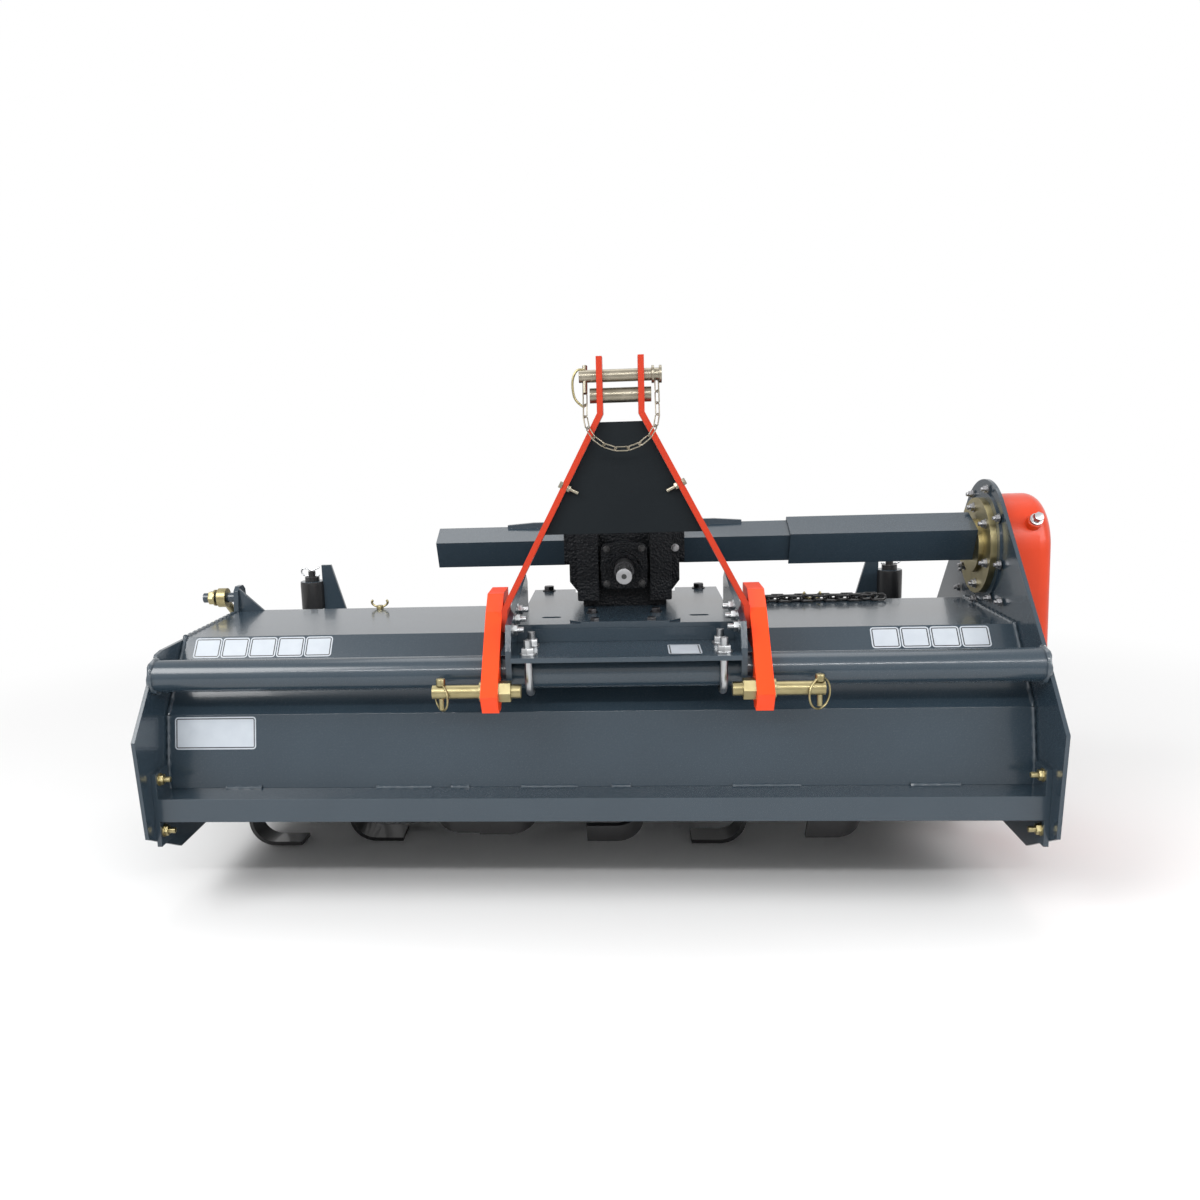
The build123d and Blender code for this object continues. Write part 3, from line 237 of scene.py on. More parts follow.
# Blank decals: pale film with rounded corners and a thin dark line inside the edge. They lie on the
# slope under the deck's front bend, on the front panel and on the hitch saddle.
FILM_SCALE = 40.0
film, film_shades, film_principled = new_material("pale film")
film_place = film_shades.node("TexCoord", out="Object")
film_cloud = film_shades.node("TexNoise", {"Vector": film_place, "Scale": FILM_SCALE, "Detail": 3.0})
feed(film_shades, film_principled, {
    "Base Color": film_cloud.tint((0.40, 0.44, 0.49), (0.50, 0.54, 0.58)),
    "Roughness": film_cloud * 0.2 + 0.25,
})
DECAL_CORNER = 0.0068
DECAL_RIM = 0.0028
DECAL_LINE = 0.0024
DECAL_PROUD = 0.0008


def rounded_face(shape, middle, along, up, wide, tall, corner):
    """A flat face with rounded corners, turned by the unit directions of its sides."""
    turn = Matrix((along * wide, up * tall, along.cross(up))).transposed().to_4x4()
    place = Matrix.Translation(middle) @ turn
    corners = bmesh.ops.create_grid(shape, x_segments=1, y_segments=1, size=0.5, matrix=place)["verts"]
    rounded = bmesh.ops.bevel(
        shape, geom=corners, offset=corner, segments=4, profile=0.5, affect="VERTICES", material=-1
    )
    faces = {found for vert in rounded["verts"] for found in vert.link_faces}
    return max(faces, key=lambda found: found.calc_area())


def decal(shape, low, wide, tall, up):
    """A film label from its low left corner, its border line inset as faces of its own."""
    along = Vector((1, 0, 0))
    middle = Vector(low) + along * wide / 2 + up * tall / 2 + along.cross(up) * DECAL_PROUD
    face = rounded_face(shape, middle, along, up, wide, tall, DECAL_CORNER)
    bmesh.ops.inset_region(shape, faces=[face], thickness=DECAL_RIM, use_boundary=True)
    border = bmesh.ops.inset_region(shape, faces=[face], thickness=DECAL_LINE, use_boundary=True)
    for line_face in border["faces"]:
        line_face.material_index = 1


slope_down = Vector((0, SLOPE_FOOT[0] - DECK_FRONT_Y, SLOPE_FOOT[1] - DECK_Z)).normalized()
SLOPE_LABEL_TALL = 0.050
SLOPE_LABEL_DROP = 0.004
SLOPE_LABEL_GAP = 0.002
slope_low = Vector((0, DECK_FRONT_Y, DECK_Z)) + slope_down * (SLOPE_LABEL_DROP + SLOPE_LABEL_TALL)
# first X of a row, number of labels in it, width from one to the next
label_rows = [(0.606, 4, 0.0622), (-0.881, 5, 0.0634)]
decals = bmesh.new()
for first_x, number, pitch in label_rows:
    for count in range(number):
        low = slope_low + Vector((first_x + count * pitch, 0, 0))
        decal(decals, low, pitch - SLOPE_LABEL_GAP, SLOPE_LABEL_TALL, -slope_down)
PANEL_LABEL_X = -0.893
PANEL_LABEL_RISE = 0.083
PANEL_LABEL = (0.180, 0.070)
panel_up = Vector((0, SLOPE_FOOT[0] - hood_low.y, SLOPE_FOOT[1] - hood_low.z)).normalized()
panel_low = Vector((PANEL_LABEL_X, hood_low.y, hood_low.z)) + panel_up * PANEL_LABEL_RISE
decal(decals, panel_low, *PANEL_LABEL, panel_up)
SADDLE_LABEL_PLACE = (0.170, -0.588)
SADDLE_LABEL = (0.066, 0.088)
saddle_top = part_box("saddle")[1].z
decal(decals, (*SADDLE_LABEL_PLACE, saddle_top), *SADDLE_LABEL, Vector((0, 1, 0)))
ink = paint("border ink", (0.014, 0.015, 0.017), (0.022, 0.023, 0.025), 0.45, 0.05)
piece(decals, "blank_decals", [film, ink])


# Lower hitch arms: thick flame-cut plate in a bright orange, the straps of the mast in a redder coat,
# and the pressed cover of the side drive in coral red.
orange = paint("orange paint", (0.82, 0.046, 0.001), (0.92, 0.060, 0.002), 0.36, 0.10, coat=0.1, mirror=0.35)
red_orange = paint(
    "red orange paint", (0.38, 0.022, 0.004), (0.48, 0.032, 0.007), 0.40, 0.14, coat=0.05, mirror=0.3
)
coral = paint("coral paint", (0.52, 0.036, 0.006), (0.62, 0.048, 0.009), 0.28, 0.10, coat=0.1, mirror=0.35)
dress(orange, "lower_arm_left", "lower_arm_right")
dress(red_orange, "mast_strap_left", "mast_strap_right")
dress(coral, "drive_case")


# Mast shield: a plain steel sheet between the straps, cut to their slope and sprayed a matt charcoal.
# It stands over the gearbox's input shaft.
charcoal = paint(
    "charcoal paint", (0.006, 0.008, 0.010), (0.009, 0.012, 0.014), 0.50, 0.20, coat=0.0, mirror=0.09
)
dress(charcoal, "mast_shield")


# Rotor and roller: cut, bent and welded steel under thin black paint. The posts of the levelling board
# have the same coat, and the loose chain on the deck is blackened too.
black = paint("black paint", (0.008, 0.008, 0.009), (0.017, 0.017, 0.018), 0.36, 0.25)
dress(black, "rotor", "roller", "levelling_post_left", "levelling_post_right", "deck_chain")


# Pins, flange and adjusters: turned and cut steel in yellow zinc, cloudy from straw to olive. The top
# pin, its spacer and its chain have gone dull, the U-bolts are bright and the input shaft is oiled.
CLOUD_SCALE = 30.0
CLOUD_ROUGH = 0.2
PLATED_EDGE = 0.0008


def plated(name, deep, pale, rough):
    """Electroplated steel with a cloudy passivation."""
    made, shades, principled = new_material(name)
    place = shades.node("TexCoord", out="Object")
    grid = {"Vector": place, "Scale": CLOUD_SCALE, "Detail": 4.0, "Distortion": 0.8}
    cloud = shades.node("TexNoise", grid)
    feed(shades, principled, {
        "Base Color": cloud.tint(deep, pale),
        "Roughness": cloud * CLOUD_ROUGH + (rough - CLOUD_ROUGH / 2),
        "Normal": shades.node("Bevel", {"Radius": PLATED_EDGE}, samples=4),
    })
    principled.inputs["Metallic"].default_value = 1.0
    return made


yellow_zinc = plated("yellow zinc", (0.22, 0.18, 0.085), (0.42, 0.37, 0.21), 0.36)
bright_zinc = plated("bright zinc", (0.30, 0.31, 0.32), (0.56, 0.57, 0.58), 0.30)
dull_zinc = plated("dull zinc", (0.17, 0.15, 0.11), (0.38, 0.35, 0.28), 0.34)
steel = plated("machined steel", (0.22, 0.22, 0.23), (0.40, 0.40, 0.41), 0.36)
oiled_steel = plated("oiled steel", (0.035, 0.036, 0.038), (0.09, 0.09, 0.095), 0.34)
dress(yellow_zinc, "drive_flange", "lower_pin_left", "lower_pin_right")
dress(yellow_zinc, "adjuster_left", "adjuster_right", "adjuster_lug_right")
dress(dull_zinc, "top_pin", "mast_spacer", "pin_chain")
dress(bright_zinc, "u_bolts")
dress(oiled_steel, "pto_shaft")


# Front bar: its end flanges are bolted to the side plates with yellow zinc bolts, two at each end,
# their heads outside the plates and their nuts within.
def aligned(place, axis):
    """The matrix that stands a shape made along +Z on a place, along an axis."""
    turn = Vector((0, 0, 1)).rotation_difference(Vector(axis))
    return Matrix.Translation(place) @ turn.to_matrix().to_4x4()


def slug(shape, place, axis, radius, tall, sides=20, chamfer=0.0):
    """A round or six-sided slug that stands on a place along a unit axis, its far edge chamfered."""
    place, axis = Vector(place), Vector(axis)
    stand = aligned(place, axis) @ Matrix.Translation((0, 0, tall / 2))
    verts = bmesh.ops.create_cone(
        shape, cap_ends=True, segments=sides, radius1=radius, radius2=radius, depth=tall, matrix=stand
    )["verts"]
    if chamfer:
        far = {vert for vert in verts if (vert.co - place).dot(axis) > tall / 2}
        rim = {edge for vert in far for edge in vert.link_edges if far.issuperset(edge.verts)}
        bmesh.ops.bevel(
            shape, geom=list(rim), offset=chamfer, segments=2, profile=0.5, affect="EDGES", material=-1
        )


# shares of a bolt's thread size
WASHER_R = 1.15
WASHER_T = 0.16
HEXAGON_R = 0.95
HEXAGON_T = 0.72
HEXAGON_CHAMFER = 0.10


def bolt(shape, place, axis, size, thread=0.0):
    """A washer and a hexagon of a thread size, and on a nut the end of its bolt."""
    place, axis = Vector(place), Vector(axis)
    washer = WASHER_T * size
    hexagon = HEXAGON_T * size
    chamfer = HEXAGON_CHAMFER * size
    slug(shape, place, axis, WASHER_R * size, washer)
    slug(shape, place + axis * washer, axis, HEXAGON_R * size, hexagon, 6, chamfer)
    if thread:
        slug(shape, place + axis * (washer + hexagon), axis, size / 2, thread, 14, chamfer)


BAR_FLANGE_T = 0.010
BAR_BOLT = 0.012
BAR_THREAD = 0.014
BAR_BOLT_Y = -0.572
BAR_BOLT_Z = (0.308, 0.195)
flange_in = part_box("front_bar")[1].x - BAR_FLANGE_T
plate_out = {-1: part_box("side_plate_left")[0].x, 1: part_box("side_plate_right")[1].x}
bar_bolts = bmesh.new()
for side in (-1, 1):
    for bolt_z in BAR_BOLT_Z:
        bolt(bar_bolts, (side * flange_in, BAR_BOLT_Y, bolt_z), (-side, 0, 0), BAR_BOLT, BAR_THREAD)
        bolt(bar_bolts, (plate_out[side], BAR_BOLT_Y, bolt_z), (side, 0, 0), BAR_BOLT)
piece(bar_bolts, "front_bar_bolts", [yellow_zinc])


# Drive flange: studs hold the zinc flange to its hub, and a wider circle of bolts holds the side plate
# to the drive case behind it. Two more bolts stand low on the plate.
drive_low, drive_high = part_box("drive_flange")
drive_y = (drive_low.y + drive_high.y) / 2
drive_z = (drive_low.z + drive_high.z) / 2
FLANGE_FACE_X = 0.894
plate_face_x = drive_high.x
STUD = 0.010
STUD_THREAD = 0.007
CASE_BOLT = 0.009
CASE_THREAD = 0.006
# circle radius, number, first angle in degrees, face X, thread size, thread end
stud_circles = [
    (0.088, 6, 20, FLANGE_FACE_X, STUD, STUD_THREAD),
    (0.134, 8, 12, plate_face_x, CASE_BOLT, CASE_THREAD),
]
# Y and Z of the two low bolts
low_bolts = [(-0.280, 0.603), (0.006, 0.590)]
studs = bmesh.new()
for radius, number, first, face_x, size, thread in stud_circles:
    for count in range(number):
        angle = radians(first) + tau * count / number
        place = (face_x, drive_y + radius * cos(angle), drive_z + radius * sin(angle))
        bolt(studs, place, (-1, 0, 0), size, thread)
for bolt_y, bolt_z in low_bolts:
    bolt(studs, (plate_face_x, bolt_y, bolt_z), (-1, 0, 0), CASE_BOLT, CASE_THREAD)
piece(studs, "drive_studs", [steel])


# Drive case: a pressed cover with a filler boss that points up and forward, closed by a zinc plug on a
# washer. The bolts of the side plate hold it from within.
CASE_R = 0.118
PLUG_X = 0.985
PLUG_WAY = Vector((0, -0.87, 0.50)).normalized()
BOSS_SUNK = 0.010
BOSS_R = 0.017
BOSS_LONG = 0.028
PLUG_WASHER_R = 0.014
PLUG_WASHER_T = 0.006
PLUG_R = 0.011
PLUG_LONG = 0.016
boss_foot = Vector((PLUG_X, drive_y, drive_z)) + PLUG_WAY * (CASE_R - BOSS_SUNK)
boss_top = boss_foot + PLUG_WAY * BOSS_LONG
plug = bmesh.new()
slug(plug, boss_top + PLUG_WAY * PLUG_WASHER_T, PLUG_WAY, PLUG_R, PLUG_LONG, 6, 0.002)
slug(plug, boss_top, PLUG_WAY, PLUG_WASHER_R, PLUG_WASHER_T, 20, 0.001)
piece(plug, "filler_plug", [bright_zinc])
boss = bmesh.new()
slug(boss, boss_foot, PLUG_WAY, BOSS_R, BOSS_LONG, 24, 0.003)
piece(boss, "filler_boss", [coral])


# Hitch cradle: welded plate with bright zinc nuts on the U-bolts over the saddle and bolts through the
# cheeks. Dark oiled bolts hold the gearbox's foot and stand at the base plate's rear end.
ubolt_low, ubolt_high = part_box("u_bolts")
base_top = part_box("base_plate")[1].z
UBOLT_D = 0.016
UBOLT_WASHER_R = 0.017
UBOLT_WASHER_T = 0.003
UBOLT_NUT_R = 0.014
UBOLT_NUT_T = 0.012
CHEEK_BOLT = 0.012
CHEEK_THREAD = 0.012
# Y and Z of the bolts in each cheek
cheek_bolts = [(-0.425, 0.632), (-0.480, 0.622), (-0.535, 0.610)]
cheek_faces = {1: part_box("hitch_cheek_left")[1].x, -1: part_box("hitch_cheek_right")[0].x}
cradle_nuts = bmesh.new()
for leg_x in (ubolt_low.x + UBOLT_D / 2, ubolt_high.x - UBOLT_D / 2):
    for leg_y in (ubolt_low.y + UBOLT_D / 2, ubolt_high.y - UBOLT_D / 2):
        slug(cradle_nuts, (leg_x, leg_y, saddle_top), (0, 0, 1), UBOLT_WASHER_R, UBOLT_WASHER_T)
        nut_foot = (leg_x, leg_y, saddle_top + UBOLT_WASHER_T)
        slug(cradle_nuts, nut_foot, (0, 0, 1), UBOLT_NUT_R, UBOLT_NUT_T, 6, 0.0015)
for way, face_x in cheek_faces.items():
    for bolt_y, bolt_z in cheek_bolts:
        bolt(cradle_nuts, (face_x, bolt_y, bolt_z), (way, 0, 0), CHEEK_BOLT, CHEEK_THREAD)
piece(cradle_nuts, "cradle_nuts", [bright_zinc])
PAD_T = 0.004
FOOT_BOLT = 0.011
REAR_BOLT = 0.014
# X, Y, how far under the pad's top, thread size
base_places = [
    (0.012, -0.350, 0, FOOT_BOLT), (0.152, -0.350, 0, FOOT_BOLT),
    (0.020, -0.438, PAD_T, FOOT_BOLT), (0.140, -0.438, PAD_T, FOOT_BOLT),
    (-0.107, -0.012, PAD_T, REAR_BOLT), (0.267, -0.012, PAD_T, REAR_BOLT),
]
base_bolts = bmesh.new()
for bolt_x, bolt_y, under, size in base_places:
    bolt(base_bolts, (bolt_x, bolt_y, base_top - under), (0, 0, 1), size)
piece(base_bolts, "base_bolts", [oiled_steel])


# Mast: a zinc bolt goes through each flat strap beside the shield, with its head and washer outside
# and a nut on its long thread within.
strap_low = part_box("mast_strap_left")[0]
hitch_x = (strap_low.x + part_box("mast_strap_right")[1].x) / 2
STRAP_OUT = 0.1195
STRAP_T = 0.012
STRAP_BOLT_Z = 0.899
STRAP_BOLT_IN = 0.0065
STRAP_BOLT = 0.008
STRAP_NUT = 0.0075
STRAP_THREAD = 0.018
STRAP_LEAN = Vector((0.886, 0, 0.465)).normalized()
mast_bolts = bmesh.new()
for side in (-1, 1):
    out = Vector((side * STRAP_LEAN.x, 0, STRAP_LEAN.z))
    face = Vector((hitch_x + side * STRAP_OUT, strap_low.y + STRAP_BOLT_IN, STRAP_BOLT_Z))
    bolt(mast_bolts, face, out, STRAP_BOLT)
    bolt(mast_bolts, face - out * STRAP_T * STRAP_LEAN.x, -out, STRAP_NUT, STRAP_THREAD)
piece(mast_bolts, "mast_bolts", [dull_zinc])


# Linch pins: each lower hitch pin is held by a turned pin through its end, which a sprung wire ring
# locks. The top pin's own linch pin gets only its bow of wire. All are yellow zinc.
def ring(shape, centre, axis, radius, thick):
    """A closed wire ring, its round section spun about the axis."""
    stand = aligned(centre, axis) @ Matrix.Translation((radius, 0, 0)) @ Matrix.Rotation(pi / 2, 4, "X")
    section = bmesh.ops.create_circle(shape, segments=8, radius=thick, matrix=stand)["verts"]
    edges = list({edge for vert in section for edge in vert.link_edges})
    bmesh.ops.spin(shape, geom=edges, cent=centre, axis=axis, steps=32, angle=tau, use_merge=True)


LINCH_R = 0.0055
LINCH_LONG = 0.060
LINCH_LOW = 0.036
LINCH_HEAD_R = 0.0095
LINCH_HEAD_T = 0.014
LINCH_HEAD_RISE = 0.014
RING_DROP = 0.011
RING_WIRE = 0.0022
UP = Vector((0, 0, 1))
# pin's node, distance of the linch pin from its end, way in, ring's radius, ring's axis
linch_rows = [
    ("lower_pin_left", 0.017, 1, 0.027, Vector((0.80, 0.60, 0))),
    ("lower_pin_right", 0.010, -1, 0.031, Vector((0.66, -0.75, 0))),
]
linch_pins = bmesh.new()
for name, inset, way, radius, axis in linch_rows:
    low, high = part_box(name)
    end_x = low.x if way > 0 else high.x
    middle = Vector((end_x + way * inset, (low.y + high.y) / 2, (low.z + high.z) / 2))
    slug(linch_pins, middle - UP * LINCH_LOW, UP, LINCH_R, LINCH_LONG, 14)
    slug(linch_pins, middle + UP * LINCH_HEAD_RISE, UP, LINCH_HEAD_R, LINCH_HEAD_T, 20, 0.003)
    ring(linch_pins, middle - UP * RING_DROP, axis, radius, RING_WIRE)
top_low, top_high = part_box("top_pin")
BOW_Y = -0.487
BOW_RISE = 0.010
BOW_WIRE = 0.0024
# across from the top pin's end and up from its linch pin's middle
BOW_LINE = [(0.012, 0.020), (0.000, 0.026), (-0.012, 0.010)]
BOW_LINE += [(-0.014, -0.014), (-0.008, -0.042), (0.010, -0.052)]
bow_z = (top_low.z + top_high.z) / 2 + BOW_RISE
wire(linch_pins, [(top_low.x + x, BOW_Y, bow_z + z) for x, z in BOW_LINE], BOW_WIRE, 6)
piece(linch_pins, "linch_pins", [yellow_zinc])


# Gearbox: a sand casting with soft corners, dipped in black paint that leaves the grain of the mould
# showing. Its foot is bolted to the base plate.
GRAIN_SCALE = 150.0
LUMP_SCALE = 190.0
LUMP_SHARE = 0.8
CAST_EDGE = 0.003
CAST_DEPTH = 0.0025
CAST_MIRROR = 0.20
cast, cast_shades, cast_principled = new_material("black casting")
cast_place = cast_shades.node("TexCoord", out="Object")
sand = {"Vector": cast_place, "Scale": GRAIN_SCALE, "Detail": 5.0, "Roughness": 0.7}
grain = cast_shades.node("TexNoise", sand)
lumps = cast_shades.node("TexVoronoi", {"Vector": cast_place, "Scale": LUMP_SCALE})
cast_soft = cast_shades.node("Bevel", {"Radius": CAST_EDGE}, samples=4)
cast_height = grain + lumps * LUMP_SHARE
cast_relief = {"Strength": 0.9, "Distance": CAST_DEPTH, "Height": cast_height, "Normal": cast_soft}
feed(cast_shades, cast_principled, {
    "Base Color": grain.tint((0.0015, 0.002, 0.003), (0.006, 0.008, 0.011)),
    "Roughness": grain * 0.2 + 0.26,
    "Normal": cast_shades.node("Bump", cast_relief),
})
cast_principled.inputs["Specular IOR Level"].default_value = CAST_MIRROR
dress(cast, "gearbox")


# Gearbox covers: cast plates with rounded corners, a square one round the input shaft and a wide one at
# the back, each on its own bolts, with an oil plug in the rear one and a steel plug on the shoulder.
PLATE_T = 0.006


def cast_plate(shape, middle, along, wide, tall, corner):
    """An upright plate raised from a rounded face along the face's own normal."""
    face = rounded_face(shape, middle, along, UP, wide, tall, corner)
    raised = bmesh.ops.extrude_face_region(shape, geom=[face])["geom"]
    verts = [part for part in raised if isinstance(part, bmesh.types.BMVert)]
    bmesh.ops.translate(shape, verts=verts, vec=along.cross(UP) * PLATE_T)


pto_low, pto_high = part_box("pto_shaft")
pto_x = (pto_low.x + pto_high.x) / 2
pto_z = (pto_low.z + pto_high.z) / 2
gear_low, gear_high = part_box("gearbox")
gear_z = (gear_low.z + gear_high.z) / 2
CAP_FACE_Y = -0.2965
CAP_WIDE = 0.102
CAP_CORNER = 0.014
CAP_BOLT = 0.007
CAP_BOLT_OUT = 0.039
BACK_WIDE = 0.170
BACK_TALL = 0.140
BACK_CORNER = 0.025
BACK_BOLT = 0.008
BACK_BOLT_IN = 0.016
OIL_PLUG_R = 0.013
OIL_PLUG_LONG = 0.010
OIL_PLUG_DROP = 0.020
back_y = gear_high.y + PLATE_T
covers = bmesh.new()
cast_plate(covers, (pto_x, CAP_FACE_Y, pto_z), Vector((1, 0, 0)), CAP_WIDE, CAP_WIDE, CAP_CORNER)
cast_plate(covers, (pto_x, gear_high.y, gear_z), Vector((-1, 0, 0)), BACK_WIDE, BACK_TALL, BACK_CORNER)
piece(covers, "gearbox_covers", [cast])
cover_bolts = bmesh.new()
for out_x in (-CAP_BOLT_OUT, CAP_BOLT_OUT):
    for out_z in (-CAP_BOLT_OUT, CAP_BOLT_OUT):
        bolt(cover_bolts, (pto_x + out_x, CAP_FACE_Y - PLATE_T, pto_z + out_z), (0, -1, 0), CAP_BOLT)
for share_x, share_z in ((-1, -1), (0, -1), (1, -1), (-1, 1), (0, 1), (1, 1), (-1, 0), (1, 0)):
    bolt_x = pto_x + share_x * (BACK_WIDE / 2 - BACK_BOLT_IN)
    bolt_z = gear_z + share_z * (BACK_TALL / 2 - BACK_BOLT_IN)
    bolt(cover_bolts, (bolt_x, back_y, bolt_z), (0, 1, 0), BACK_BOLT)
oil_plug = (pto_x, back_y, gear_z - OIL_PLUG_DROP)
slug(cover_bolts, oil_plug, (0, 1, 0), OIL_PLUG_R, OIL_PLUG_LONG, 6, 0.002)
piece(cover_bolts, "gearbox_cover_bolts", [black])
SHOULDER_PLUG_PLACE = (0.199, -0.264, 0.738)
SHOULDER_PLUG = 0.0075
shoulder_plug = bmesh.new()
bolt(shoulder_plug, SHOULDER_PLUG_PLACE, (0, -1, 0), SHOULDER_PLUG)
piece(shoulder_plug, "gearbox_plug", [steel])


# Input shaft: its turned end is bare steel, and a thin black disc in its middle is painted shade in
# place of the lathe's centre hole. Both turn with the shaft.
CENTRE_R = 0.0055
CENTRE_T = 0.0008
SHAFT_END_R = 0.0165
SHAFT_END_T = 0.001
# a black disc: painted shade standing in for the recess of the centre hole
centre_hole_shade = bmesh.new()
slug(centre_hole_shade, (pto_x, pto_low.y, pto_z), (0, -1, 0), CENTRE_R, CENTRE_T, 24)
piece(centre_hole_shade, "shaft_centre_shade", [black], "pto")
shaft_end = bmesh.new()
end_foot = (pto_x, pto_low.y + SHAFT_END_T / 2, pto_z)
slug(shaft_end, end_foot, (0, -1, 0), SHAFT_END_R, SHAFT_END_T, 36, 0.0003)
piece(shaft_end, "shaft_end", [steel], "pto")


# Levelling posts: each slides in a sleeve that is welded to its gusset and painted black. A spring clip
# of bright wire goes through the post's top and rests over it.
def spun(shape, centre, profile):
    """A closed upright ring from a profile of radius and height."""
    centre = Vector(centre)
    corners = [shape.verts.new(centre + Vector((radius, 0, height))) for radius, height in profile]
    edges = [shape.edges.new((first, corners[count - 1])) for count, first in enumerate(corners)]
    bmesh.ops.spin(shape, geom=edges, cent=centre, axis=UP, steps=36, angle=tau, use_merge=True)


SLEEVE_R = 0.0322
SLEEVE_LOW_Z = 0.526
SLEEVE_TALL = 0.078
SLEEVE_SKIN = 0.0012
SLEEVE_END = 0.001
SLEEVE_SHOULDER = 0.008
sleeve_out = SLEEVE_R + SLEEVE_SKIN
sleeve_profile = [
    (SLEEVE_R, SLEEVE_END), (sleeve_out, SLEEVE_END), (sleeve_out, SLEEVE_TALL - SLEEVE_SHOULDER),
    (SLEEVE_R + SLEEVE_SKIN / 2, SLEEVE_TALL - SLEEVE_END), (SLEEVE_R, SLEEVE_TALL - SLEEVE_END),
]
CLIP_WIRE = 0.0022
CLIP_DROP = 0.012
# out and up from the clip's hole: the straight leg, the sprung bend and the wavy leg
CLIP_LINE = [(-0.022, 0), (-0.004, 0), (0.014, -0.001), (0.027, 0.002), (0.031, 0.014), (0.022, 0.022)]
CLIP_LINE += [(0.011, 0.018), (0.000, 0.013), (-0.011, 0.018), (-0.022, 0.023)]
sleeves = bmesh.new()
post_clips = bmesh.new()
for name, way in (("levelling_post_left", -1), ("levelling_post_right", 1)):
    low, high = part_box(name)
    post_x = (low.x + high.x) / 2
    post_y = (low.y + high.y) / 2
    spun(sleeves, (post_x, post_y, SLEEVE_LOW_Z), sleeve_profile)
    clip_foot = Vector((post_x, post_y, high.z - CLIP_DROP))
    wire(post_clips, [clip_foot + Vector((way * x, 0, z)) for x, z in CLIP_LINE], CLIP_WIRE, 6)
piece(sleeves, "post_sleeves", [black])
piece(post_clips, "post_clips", [bright_zinc], "levelling")


# Adjusters: each turnbuckle's eye sits on the pin of a lug, and a washer and a nut in yellow zinc keep
# it there.
EYE_GAP = 0.001
EYE_WASHER_R = 0.021
EYE_WASHER_T = 0.004
EYE_NUT_R = 0.018
EYE_NUT_T = 0.014
# adjuster's node, way out, Y and Z of its lug's pin
adjuster_rows = [("adjuster_left", -1, -0.025, 0.605), ("adjuster_right", 1, 0.070, 0.585)]
adjuster_nuts = bmesh.new()
for name, side, pin_y, pin_z in adjuster_rows:
    low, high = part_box(name)
    eye_out = low.x if side < 0 else high.x
    washer_foot = (eye_out + side * EYE_GAP, pin_y, pin_z)
    nut_foot = (eye_out + side * (EYE_GAP + EYE_WASHER_T), pin_y, pin_z)
    slug(adjuster_nuts, washer_foot, (side, 0, 0), EYE_WASHER_R, EYE_WASHER_T)
    slug(adjuster_nuts, nut_foot, (side, 0, 0), EYE_NUT_R, EYE_NUT_T, 6, 0.002)
piece(adjuster_nuts, "adjuster_nuts", [yellow_zinc])


# Bearings: round cast flange units with a domed cap, bolted outside the roller arms and, for the rotor,
# outside the left side plate. Plain nuts close the pivots of the roller arms.
UNIT_T = 0.010
UNIT_CAP_T = 0.012
UNIT_CAP_SHARE = 0.45
UNIT_BOLT_SHARE = 0.78
UNIT_BOLT = 0.008


def bearing(castings, bolts, face, way, radius, number):
    """A flange unit on a face, with its bolts on a circle near the rim."""
    front = face + way * UNIT_T
    slug(castings, face, way, radius, UNIT_T, 40, 0.003)
    slug(castings, front, way, UNIT_CAP_SHARE * radius, UNIT_CAP_T, 32, 0.005)
    for count in range(number):
        angle = tau * (count + 0.5) / number
        spoke = Vector((0, cos(angle), sin(angle))) * UNIT_BOLT_SHARE * radius
        bolt(bolts, front + spoke, way, UNIT_BOLT)


ROLLER_UNIT_R = 0.054
ROTOR_UNIT_R = 0.072
ARM_GAP = 0.0005
ARM_PIVOT = Vector((0, 0.135, 0.305))
ARM_NUT = 0.018
roller_low, roller_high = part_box("roller")
axle = Vector((0, (roller_low.y + roller_high.y) / 2, (roller_low.z + roller_high.z) / 2))
rotor_low, rotor_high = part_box("rotor_bearings")
rotor_y = (rotor_low.y + rotor_high.y) / 2
rotor_z = (rotor_low.z + rotor_high.z) / 2
castings = bmesh.new()
bearing_bolts = bmesh.new()
for side in (-1, 1):
    way = Vector((side, 0, 0))
    arm_face = way * (roller_high.x + ARM_GAP)
    bearing(castings, bearing_bolts, arm_face + axle, way, ROLLER_UNIT_R, 4)
    bolt(bearing_bolts, arm_face + ARM_PIVOT, way, ARM_NUT)
rotor_face = Vector((plate_out[-1], rotor_y, rotor_z))
bearing(castings, bearing_bolts, rotor_face, Vector((-1, 0, 0)), ROTOR_UNIT_R, 6)
piece(castings, "bearing_housings", [cast])
piece(bearing_bolts, "bearing_bolts", [bright_zinc])


# Wing nuts: two small ones in yellow zinc near the deck's rear edge, each with wings bent from wire on
# a turned foot.
WING_X = (0.541, -0.536)
WING_IN = 0.012
WING_FOOT_R = 0.009
WING_FOOT_T = 0.009
WING_WIRE = 0.0026
WING_SWELL = (1.0, 0.9, 1.3, 1.1)
# out and up from the foot
WING_LINE = [(0.004, 0.004), (0.016, 0.008), (0.022, 0.018), (0.017, 0.022)]
wing_nuts = bmesh.new()
for wing_x in WING_X:
    foot = Vector((wing_x, DECK_REAR_Y - WING_IN, DECK_Z))
    slug(wing_nuts, foot, UP, WING_FOOT_R, WING_FOOT_T, 20, 0.002)
    for way in (-1, 1):
        line = [foot + Vector((way * x, 0, z)) for x, z in WING_LINE]
        wire(wing_nuts, line, WING_WIRE, 5, WING_SWELL)
piece(wing_nuts, "deck_wing_nuts", [yellow_zinc])


# Studio: a pale floor that fades to white away from the machine, four soft lamps and a white surround,
# which mirrors show in full and which lights matt surfaces at half strength.
FLOOR_HALF = 40
FLOOR_FADE = (1.3, 3.2)
MATT_LIGHT = 0.5
